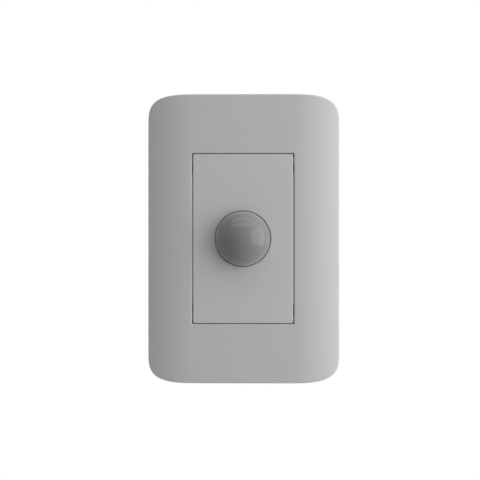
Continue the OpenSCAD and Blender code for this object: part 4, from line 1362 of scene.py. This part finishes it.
@dataclass(frozen=True)
class BoxScrew:
    """A long screw with a cross-recessed pan head, a plain neck and a rolled thread."""

    head: Profile = profile(
        (0.5, -4.4), (1.6, -4.37), (2.4, -4.2), (3.0, -3.85),
        (3.33, -3.35), (3.4, -2.9), (3.4, -2.35), (3.25, -2.2),
    )
    neck: Profile = profile((1.4, -2.2), (1.4, 0))
    tip: Spot = mm(0.7, 22.8)
    root: float = 1.34 * MM
    crest: float = 1.75 * MM
    pitch: float = 0.6 * MM
    thread_start: float = 0.05 * MM
    thread_run: float = 22 * MM
    run_out: float = 2.2 * MM
    run_out_end: float = 22.4 * MM
    taper: float = 2 * MM
    taper_end: float = 22.6 * MM
    taper_share: float = 0.28
    flat_crest: float = 1.25
    sides: int = 32
    pitch_steps: int = 8
    recess: Spot = mm(2.0, 0.5)
    recess_y: Spot = mm(-4.6, -3.2)
    recess_foot: float = 0.6

    def _thread(self) -> list[Ring]:
        """Draws the thread, which starts and runs out softly on a root that tapers at its end.

        Returns:
            The thread's rings.
        """
        rings = []
        for k in range(int(self.thread_run / self.pitch * self.pitch_steps) + 1):
            y = self.thread_start + k * self.pitch / self.pitch_steps
            lead = min(1.0, k / (2 * self.pitch_steps), max(0.0, (self.run_out_end - y) / self.run_out))
            share = self.taper_share
            root = self.root * min(1.0, 1 - share + share * (self.taper_end - y) / self.taper)
            radii = []
            for number in range(self.sides):
                phase = (y / self.pitch + number / self.sides) % 1
                tooth = min(1.0, max(0.0, self.flat_crest * (1 - abs(2 * phase - 1))))
                radii.append(root + (self.crest - self.root) * tooth * lead)
            rings.append(hoop(radii, y))
        return rings

    def model(self) -> Piece:
        """Models the screw on the Y axis.

        Returns:
            The screw.
        """
        plain = [hoop([radius] * self.sides, y) for radius, y in (*self.head, *self.neck)]
        tip = hoop([self.tip[0]] * self.sides, self.tip[1])
        screw = loft("box_screw", [*plain, *self._thread(), tip], Ends.CAPPED)
        for half_w, half_h in (self.recess, self.recess[::-1]):
            blade = add_block("recess", about(0, half_w), self.recess_y, about(0, half_h))
            with editing(blade):
                choose(blade, Grip.FACE, looking(1))
                foot = (self.recess_foot, 1, self.recess_foot)
                bpy.ops.transform.resize(value=foot, center_override=(0, self.recess_y[1], 0))
            work(screw, Work.CUT, blade)
        return screw


@dataclass
class SupportFrame:
    """The moulded frame behind the plate, and the two long screws that fix it to a wall box."""

    half_w: float = 32 * MM
    half_h: float = 53 * MM
    front: float = -2.2 * MM
    rim_front: float = -3.6 * MM
    rim: float = 1.4 * MM
    corner: float = 6 * MM
    edge: float = 0.2 * MM
    opening: Box = (mm(-20, 20), mm(-5, 1), mm(-34.05, 34.05))
    opening_corner: float = 0.6 * MM
    slot: Box = (mm(-4, 4), mm(-5, 1), mm(39.55, 43.95))
    slot_end: float = 2.19 * MM
    peg_at: Spot = mm(26, 44)
    socket: float = 3.68 * MM
    socket_y: Spot = mm(-5.2, -0.5)
    peg_hole: float = 2.08 * MM
    peg_hole_y: Spot = mm(-6, 1)
    rail: Box = (mm(20.9, 22.5), mm(-6.75, -0.5), mm(-26, 26))
    pocket: Box = (mm(19.5, 20.7), mm(-1.05, 1), mm(13.7, 22.3))
    screw: BoxScrew = BoxScrew()
    screw_z: float = 41.75 * MM
    screw_shade: float = 38

    def _frame(self) -> Piece:
        """Models the frame: a rimmed plate with its opening, slots, peg sockets and rails.

        Returns:
            The frame.
        """
        box = (about(0, self.half_w), (self.rim_front, 0), about(0, self.half_h))
        body = soften(add_block("mounting_frame", *box), self.corner, along_depth, segments=8)
        hollow(body, -1, self.rim, self.front - self.rim_front)
        cuts = [soften(add_block("opening", *self.opening), self.opening_corner, along_depth, segments=3)]
        for slot in add_blocks("slot", self.slot, in_z=BOTH):
            cuts.append(soften(slot, self.slot_end, along_depth, segments=8))
        work(body, Work.CUT, *cuts)
        soften_planes(body, self.edge, 0, self.front, self.rim_front)
        spots = corners(self.peg_at)
        sockets = [add_rod("socket", self.socket, self.socket_y, spot) for spot in spots]
        work(body, Work.FUSE, *[soften(socket, self.edge, in_plane(self.socket_y[0])) for socket in sockets])
        rails = add_blocks("rail", self.rail, BOTH)
        work(body, Work.FUSE, *[soften(rail, self.edge, in_plane(self.rail[1][0])) for rail in rails])
        holes = [add_rod("peg_hole", self.peg_hole, self.peg_hole_y, spot, sides=40) for spot in spots]
        work(body, Work.CUT, *holes)
        work(body, Work.CUT, *add_blocks("pocket", self.pocket, BOTH, BOTH))
        return smooth(body)

    def build(self) -> None:
        """Models and dresses the frame and its screws."""
        place(self._frame(), FRAME, "base", "support_frame")
        first = self.screw.model()
        lower = copied(first, "lower_screw", (0, 0, -self.screw_z))
        upper = copied(first, "upper_screw", (0, 0, self.screw_z))
        bpy.data.objects.remove(first)
        pair = smooth(join("wall_box_screws", upper, lower), self.screw_shade)
        place(pair, ZINC, "base", "box_screws")


@dataclass(frozen=True)
class Trimmers:
    """The two adjusters in the housing's back: their shafts, and the holes and marks for them."""

    x: float = 9.5 * MM
    z: float = 20 * MM
    hole: float = 2 * MM
    hole_y: Spot = mm(27, 31)
    shaft: Profile = profile(
        (1.45, 22.5), (1.6, 22.65), (1.6, 25.5), (2.4, 25.5), (2.5, 25.6),
        (2.5, 26.2), (2.4, 26.3), (1.6, 26.3), (1.6, 29.5), (1.4, 29.7),
    )
    edge: float = 0.08 * MM
    slot: Spot = mm(3, 0.4)
    slot_y: Spot = mm(28.7, 31)
    pointer: Spot = mm(0.22, 3)
    pointer_y: Spot = mm(29.1, 31)
    sweep: float = 105
    ticks: int = 7
    tick_half: float = 0.17 * MM
    tick_y: Spot = mm(29.75, 31)
    tick_start: float = 3 * MM
    tick_end: float = 3.9 * MM
    tick_growth: float = 0.2 * MM
    shade: float = 38

    def holes(self) -> list[Piece]:
        """Models what is cut out of the housing for both shafts."""
        return [add_rod("dial_hole", self.hole, self.hole_y, (side * self.x, self.z)) for side in BOTH]

    def marks(self) -> list[Piece]:
        """Models what is cut out for the marks round both shafts, longer towards the upper limit.

        Returns:
            The marks.
        """
        marks = []
        for x in (-self.x, self.x):
            for k in range(self.ticks):
                height = (self.z + self.tick_start, self.z + self.tick_end + self.tick_growth * k)
                mark = add_block("tick", about(x, self.tick_half), self.tick_y, height)
                turn = self.sweep * (2 * k / (self.ticks - 1) - 1)
                marks.append(spun(mark, turn, (x, self.z)))
        return marks

    def _dial(self, name: str, x: float) -> Piece:
        """Models a shaft, with its collar, screwdriver slot and pointer.

        Args:
            name: The shaft's name.
            x: Its place on X.

        Returns:
            The shaft.
        """
        shaft = turned(name, self.shaft, (x, self.z))
        half_w, half_h = self.slot
        work(shaft, Work.CUT, add_block("slot", about(x, half_w), self.slot_y, about(self.z, half_h)))
        half_w, reach = self.pointer
        pointer = add_block("pointer", about(x, half_w), self.pointer_y, (self.z, self.z + reach))
        work(shaft, Work.CUT, pointer)
        soften_planes(shaft, self.edge, self.shaft[-1][1])
        return smooth(shaft, self.shade)

    def build(self) -> None:
        """Models and dresses both shafts."""
        place(self._dial("time_dial_shaft", -self.x), WHITE, "time_dial", "time_trimmer_rotor")
        place(self._dial("light_dial_shaft", self.x), WHITE, "light_dial", "light_trimmer_rotor")


@dataclass
class RearHousing:
    """The box behind the wall, which the fascia closes."""

    half_w: float = 19.7 * MM
    half_h: float = 33.75 * MM
    front: float = -2.2 * MM
    rear: float = 30 * MM
    wall: float = 1.6 * MM
    rear_inner: float = 28.2 * MM
    corner: float = 2 * MM
    rear_edge: float = 0.9 * MM
    hole_edge: float = 0.15 * MM
    boss_at: Spot = mm(15.5, 29.55)
    boss: float = 2.9 * MM
    boss_y: Spot = mm(-2.18, 29)
    screw_way: float = 1.4 * MM
    screw_way_y: Spot = mm(-4, 6.5)
    head_way: float = 2.3 * MM
    head_way_y: Spot = mm(6, 31)
    post_x: float = 14.7 * MM
    post_z: Spot = mm(12, -14)
    post: float = 2.2 * MM
    post_y: Spot = mm(21, 29)
    thread: float = 0.8 * MM
    thread_y: Spot = mm(20, 26)
    lug: Box = (mm(19, 20.6), mm(-0.95, -0.15), mm(14, 22))
    lug_edge: float = 0.2 * MM
    terminal_gap: Box = (mm(-11.78, 11.78), mm(20.85, 31), mm(-35, -22.6))
    trimmers: Trimmers = Trimmers()

    def _outer_corner(self, edge: Any) -> bool:
        """Says whether an edge is one of the box's four outer corners."""
        return along_depth(edge) and abs(edge.verts[0].co.x) > self.half_w - self.wall / 2

    def _box(self) -> Piece:
        """Models the housing: an open box with screw tubes, posts, lugs and holes.

        Returns:
            The housing.
        """
        box = add_block("rear_box", about(0, self.half_w), (self.front, self.rear), about(0, self.half_h))
        hollow(box, -1, self.wall, self.rear_inner - self.front)
        soften(box, self.corner, self._outer_corner, segments=6)
        soften(box, self.rear_edge, in_plane(self.rear), segments=4)
        bosses = corners(self.boss_at)
        posts = [(x * self.post_x, z) for x in BOTH for z in self.post_z]
        stubs = [add_rod("tube", self.boss, self.boss_y, spot, sides=40) for spot in bosses]
        stubs += [add_rod("post", self.post, self.post_y, spot, sides=32) for spot in posts]
        stubs += [soften(lug, self.lug_edge, sharp) for lug in add_blocks("lug", self.lug, BOTH, BOTH)]
        work(box, Work.FUSE, *stubs)
        cuts = [add_rod("screw_way", self.screw_way, self.screw_way_y, spot, sides=32) for spot in bosses]
        cuts += [add_rod("thread", self.thread, self.thread_y, spot, sides=24) for spot in posts]
        work(box, Work.CUT, *cuts, *self.trimmers.holes(), add_block("gap", *self.terminal_gap))
        ways = [add_rod("head_way", self.head_way, self.head_way_y, spot, sides=40) for spot in bosses]
        work(box, Work.CUT, *ways)
        soften_planes(box, self.hole_edge, self.rear)
        work(box, Work.CUT, *self.trimmers.marks())
        return smooth(box)

    def build(self) -> None:
        """Models and dresses the housing."""
        place(self._box(), HOUSING, "base", "rear_housing")


@dataclass
class Terminals:
    """The block for the mains wires in the housing's back, and its clamp screws."""

    box: Box = (mm(-11.63, 11.63), mm(21, 30), mm(-33.75, -22.75))
    corner: float = 0.4 * MM
    edge: float = 0.18 * MM
    pole_x: tuple[float, float, float] = (-7.62 * MM, 0, 7.62 * MM)
    pole_z: float = -27.73 * MM
    chamber_half: float = 2.72 * MM
    chamber_y: Spot = mm(20, 27.52)
    chamber_z: Spot = mm(-30.15, -25.31)
    well: float = 2.2 * MM
    well_y: Spot = mm(27, 31)
    entry: float = 1.5 * MM
    entry_y: float = 24.65 * MM
    entry_z: Spot = mm(-35, -29.5)
    groove: Box = (mm(3.46, 4.16), mm(29.3, 31), mm(-35, -22))
    screw: Profile = profile(
        (1.0, 26.25), (1.25, 26.5), (1.25, 27.7), (1.8, 27.7), (1.9, 27.8),
        (1.9, 28.75), (1.75, 29.05), (1.2, 29.18), (0.4, 29.2),
    )
    screw_slot: Box = (mm(-3, 3), mm(28.45, 30), mm(-0.38, 0.38))
    screw_turns: tuple[float, float, float] = (18, -35, 64)
    screw_shade: float = 38

    def _block(self) -> Piece:
        """Models the block: three poles with wire entries, screw wells and parting grooves.

        Returns:
            The block.
        """
        block = soften(add_block("wire_terminals", *self.box), self.corner, sharp, segments=3)
        chambers = [(about(x, self.chamber_half), self.chamber_y, self.chamber_z) for x in self.pole_x]
        work(block, Work.CUT, *[add_block("chamber", *chamber) for chamber in chambers])
        cuts = [add_rod("well", self.well, self.well_y, (x, self.pole_z)) for x in self.pole_x]
        for x in self.pole_x:
            cuts.append(add_rod("entry", self.entry, self.entry_z, (x, self.entry_y), 40, Axis.UP))
        work(block, Work.CUT, *cuts)
        work(block, Work.CUT, *add_blocks("groove", self.groove, BOTH))
        soften_planes(block, self.edge, self.box[1][1])
        soften_planes(block, self.edge, self.box[2][0], axis=Axis.UP)
        return smooth(block)

    def _screws(self) -> Piece:
        """Models the three clamp screws, with domed slotted heads.

        Returns:
            The screws.
        """
        screw = turned("clamp_screw", self.screw, sides=40)
        work(screw, Work.CUT, add_block("slot", *self.screw_slot))
        screws = []
        for x, turn in zip(self.pole_x, self.screw_turns):
            twin = copied(screw, "clamp_screw", (x, 0, self.pole_z))
            screws.append(spun(twin, turn, (x, self.pole_z)))
        bpy.data.objects.remove(screw)
        return smooth(join("clamp_screws", *screws), self.screw_shade)

    def build(self) -> None:
        """Models and dresses the block and its screws."""
        place(self._block(), TERMINAL, "base", "terminal_block")
        place(self._screws(), ZINC, "base", "terminal_screws")


@dataclass
class Works:
    """What is inside the module: solids that keep their shape and get their finish."""

    def build(self) -> None:
        """Dresses each carried-over solid."""
        for finish, nodes in CARRIED_OVER.items():
            for node in nodes:
                dress(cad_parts[node], finish)
                LOG.info("%s: %s", node, finish.name)


# The studio


def seen_ray(wires: Wiring) -> Socket:
    """Tells what the camera sees from what only lights.

    Args:
        wires: The wiring of a material or the world.

    Returns:
        1 where the camera sees a surface, itself or in gloss or glass, and otherwise 0.
    """
    path = wires.put("LightPath")
    seen = wires.math("MAXIMUM", path["Is Camera Ray"], path["Is Glossy Ray"])
    return wires.math("MAXIMUM", seen, path["Is Transmission Ray"])


@dataclass(frozen=True)
class PaleFloor(Finish):
    """A pale floor that shows the shadow in its middle, and passes into the white room towards its rim."""

    reach: float = 0.4
    depth: float = 0.02 * MM

    def wire(self, wires: Wiring, shader: Node) -> None:
        """Wires the floor's grain and its fade to white.

        Args:
            wires: The material's wiring.
            shader: Its shader.
        """
        skin = self.skin(wires, mottle=0.1, grain=700, spread=0.1)
        normal = wires.bump(skin["Height"], self.depth)
        wires.feed(shader, {"Base Color": skin["Colour"], "Roughness": skin["Roughness"], "Normal": normal})
        away = wires.put("VectorMath", {0: wires.object_point((1, 1, 0))}, operation="LENGTH")["Value"]
        fade = wires.ramp(away, 0.3 * self.reach, 0.8 * self.reach)
        white = wires.put("Emission", {"Color": WHITE_LIGHT, "Strength": 1})[0]
        share = wires.times(fade, seen_ray(wires))
        both = wires.put("MixShader", {0: share, 1: shader.outputs[0], 2: white})[0]
        wires.feed(wires.tree.nodes["Material Output"], {"Surface": both})


class Panel(Enum):
    """The outline of a lamp's face."""

    RECTANGLE = "RECTANGLE"
    ELLIPSE = "ELLIPSE"


@dataclass(frozen=True)
class Lamp:
    """A soft light: where it stands, how large it is, and how bright its face is."""

    name: str
    place: Point
    size: Spot
    glow: float
    panel: Panel = Panel.RECTANGLE
    aim: Point = (0, -9 * MM, 0)

    def build(self) -> None:
        """Adds the lamp and turns it to its aim."""
        pick()
        bpy.ops.object.light_add(type="AREA", location=self.place)
        lamp = bpy.context.object
        lamp.name = lamp.data.name = self.name
        lamp.data.shape = self.panel.value
        lamp.data.size, lamp.data.size_y = self.size
        filled = math.pi / 4 if self.panel is Panel.ELLIPSE else 1
        lamp.data.energy = self.glow * math.pi * self.size[0] * self.size[1] * filled
        lamp.rotation_euler = (Vector(self.aim) - Vector(self.place)).to_track_quat("-Z", "Y").to_euler()


@dataclass(frozen=True)
class Room:
    """How the white room lights the object: five of its sides, and a bright side towards the right."""

    left: float = 0.2
    front: float = 0.09
    back: float = 0.65
    floor: float = 0.3
    ceiling: float = 0.3
    bright: float = 1.74
    bright_turn: float = 60
    bright_rise: float = 15
    bright_power: float = 3

    def _sides(self, wires: Wiring, way: Socket) -> Socket:
        """Works out the light of the five sides, which fades from one side to the next.

        Args:
            wires: The world's wiring.
            way: The direction that the light comes from.

        Returns:
            The light.
        """
        run = wires.split(way)
        total: Any = 0.0
        sides = (("X", self.left, 0), ("Y", self.front, self.back), ("Z", self.floor, self.ceiling))
        for axis, behind, ahead in sides:
            beyond = wires.math("GREATER_THAN", run[axis], 0)
            side = wires.math("MULTIPLY_ADD", beyond, ahead - behind, behind)
            total = wires.math("MULTIPLY_ADD", wires.times(run[axis], run[axis]), side, total)
        return total

    def build(self) -> None:
        """Makes the world white to look at, and lets its sides light what is dull."""
        world = bpy.data.worlds.new("white_room")
        bpy.context.scene.world = world
        world.use_nodes = True
        world.node_tree.nodes.clear()
        wires = Wiring(world.node_tree)
        way = wires.put("TexCoord")["Generated"]
        turn, rise = math.radians(self.bright_turn), math.radians(self.bright_rise)
        to_bright = (math.cos(rise) * math.sin(turn), -math.cos(rise) * math.cos(turn), math.sin(rise))
        facing = wires.put("VectorMath", {0: way, 1: to_bright}, operation="DOT_PRODUCT")["Value"]
        lobe = wires.math("POWER", wires.math("MAXIMUM", facing, 0.0), self.bright_power)
        light = wires.math("MULTIPLY_ADD", lobe, self.bright, self._sides(wires, way))
        soft = wires.put("Background", {"Color": WHITE_LIGHT, "Strength": light})[0]
        white = wires.put("Background", {"Color": WHITE_LIGHT, "Strength": 1})[0]
        room = wires.put("MixShader", {0: seen_ray(wires), 1: soft, 2: white})[0]
        wires.put("OutputWorld", {"Surface": room})


@dataclass
class Studio:
    """The white room: camera, lamps, walls and floor."""

    distance: float = 2.0
    yaw: float = 3.6
    frame_width: float = 195.8 * MM
    sensor: float = 36
    view_end: float = 20
    aim: Point = (-1.22 * MM, -9 * MM, -0.53 * MM)
    floor_level: float = -0.22
    floor_depth: float = 0.006
    floor_reach: float = 0.4
    floor_corner: float = 0.12
    floor_edge: float = 0.002
    room: Room = Room()
    lamps: tuple[Lamp, ...] = (
        Lamp("side_softbox", (0.258, -0.09, 0.036), (0.35, 0.31), 2.4),
        Lamp("front_strip", (0.07, -0.235, 0.44), (1.0, 0.12), 2.8, Panel.ELLIPSE, (0.07, -9 * MM, 0)),
        Lamp("top_strip", (0.1, 0.02, 0.5), (0.9, 0.12), 2.5, Panel.ELLIPSE, (0.1, -9 * MM, 0)),
    )

    def _camera(self) -> None:
        """Adds the camera, level with the middle of the plate and a little to its right."""
        pick()
        turn = math.radians(self.yaw)
        x, y, z = self.aim
        spot = (x + self.distance * math.sin(turn), y - self.distance * math.cos(turn), z)
        bpy.ops.object.camera_add(location=spot, rotation=(QUARTER, 0, turn))
        camera = bpy.context.object
        camera.name = "camera"
        camera.data.sensor_width = self.sensor
        camera.data.lens = self.sensor * self.distance / self.frame_width
        camera.data.clip_end = self.view_end
        bpy.context.scene.camera = camera

    def _floor(self) -> None:
        """Lays a pale floor below the object, out of the camera's view."""
        width, level = about(0, self.floor_reach), self.floor_level
        floor = add_block("studio_floor", width, width, (level - self.floor_depth, level))
        upright = 0.7 * self.floor_depth
        soften(
            floor,
            self.floor_corner,
            lambda edge: abs(edge.verts[0].co.z - edge.verts[1].co.z) > upright,
            segments=12,
        )
        smooth(soften(floor, self.floor_edge, sharp))
        dress(floor, PaleFloor("pale_floor", "", (0.82, 0.82, 0.82), 0.6, self.floor_reach))

    def build(self) -> None:
        """Sets up the whole studio."""
        bpy.context.scene.view_settings.view_transform = "Standard"
        self._camera()
        self.room.build()
        for lamp in self.lamps:
            lamp.build()
        self._floor()


def main() -> None:
    """Builds the switch piece by piece, then the studio round it."""
    logging.basicConfig(level=logging.INFO, format="%(message)s", stream=sys.stdout)
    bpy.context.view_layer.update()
    switch = (CoverPlate(), SensorFront(), SupportFrame(), RearHousing(), Terminals(), Trimmers(), Works())
    for part in (*switch, Studio()):
        part.build()
        LOG.info("%s done", type(part).__name__)


if __name__ == "__main__":
    main()
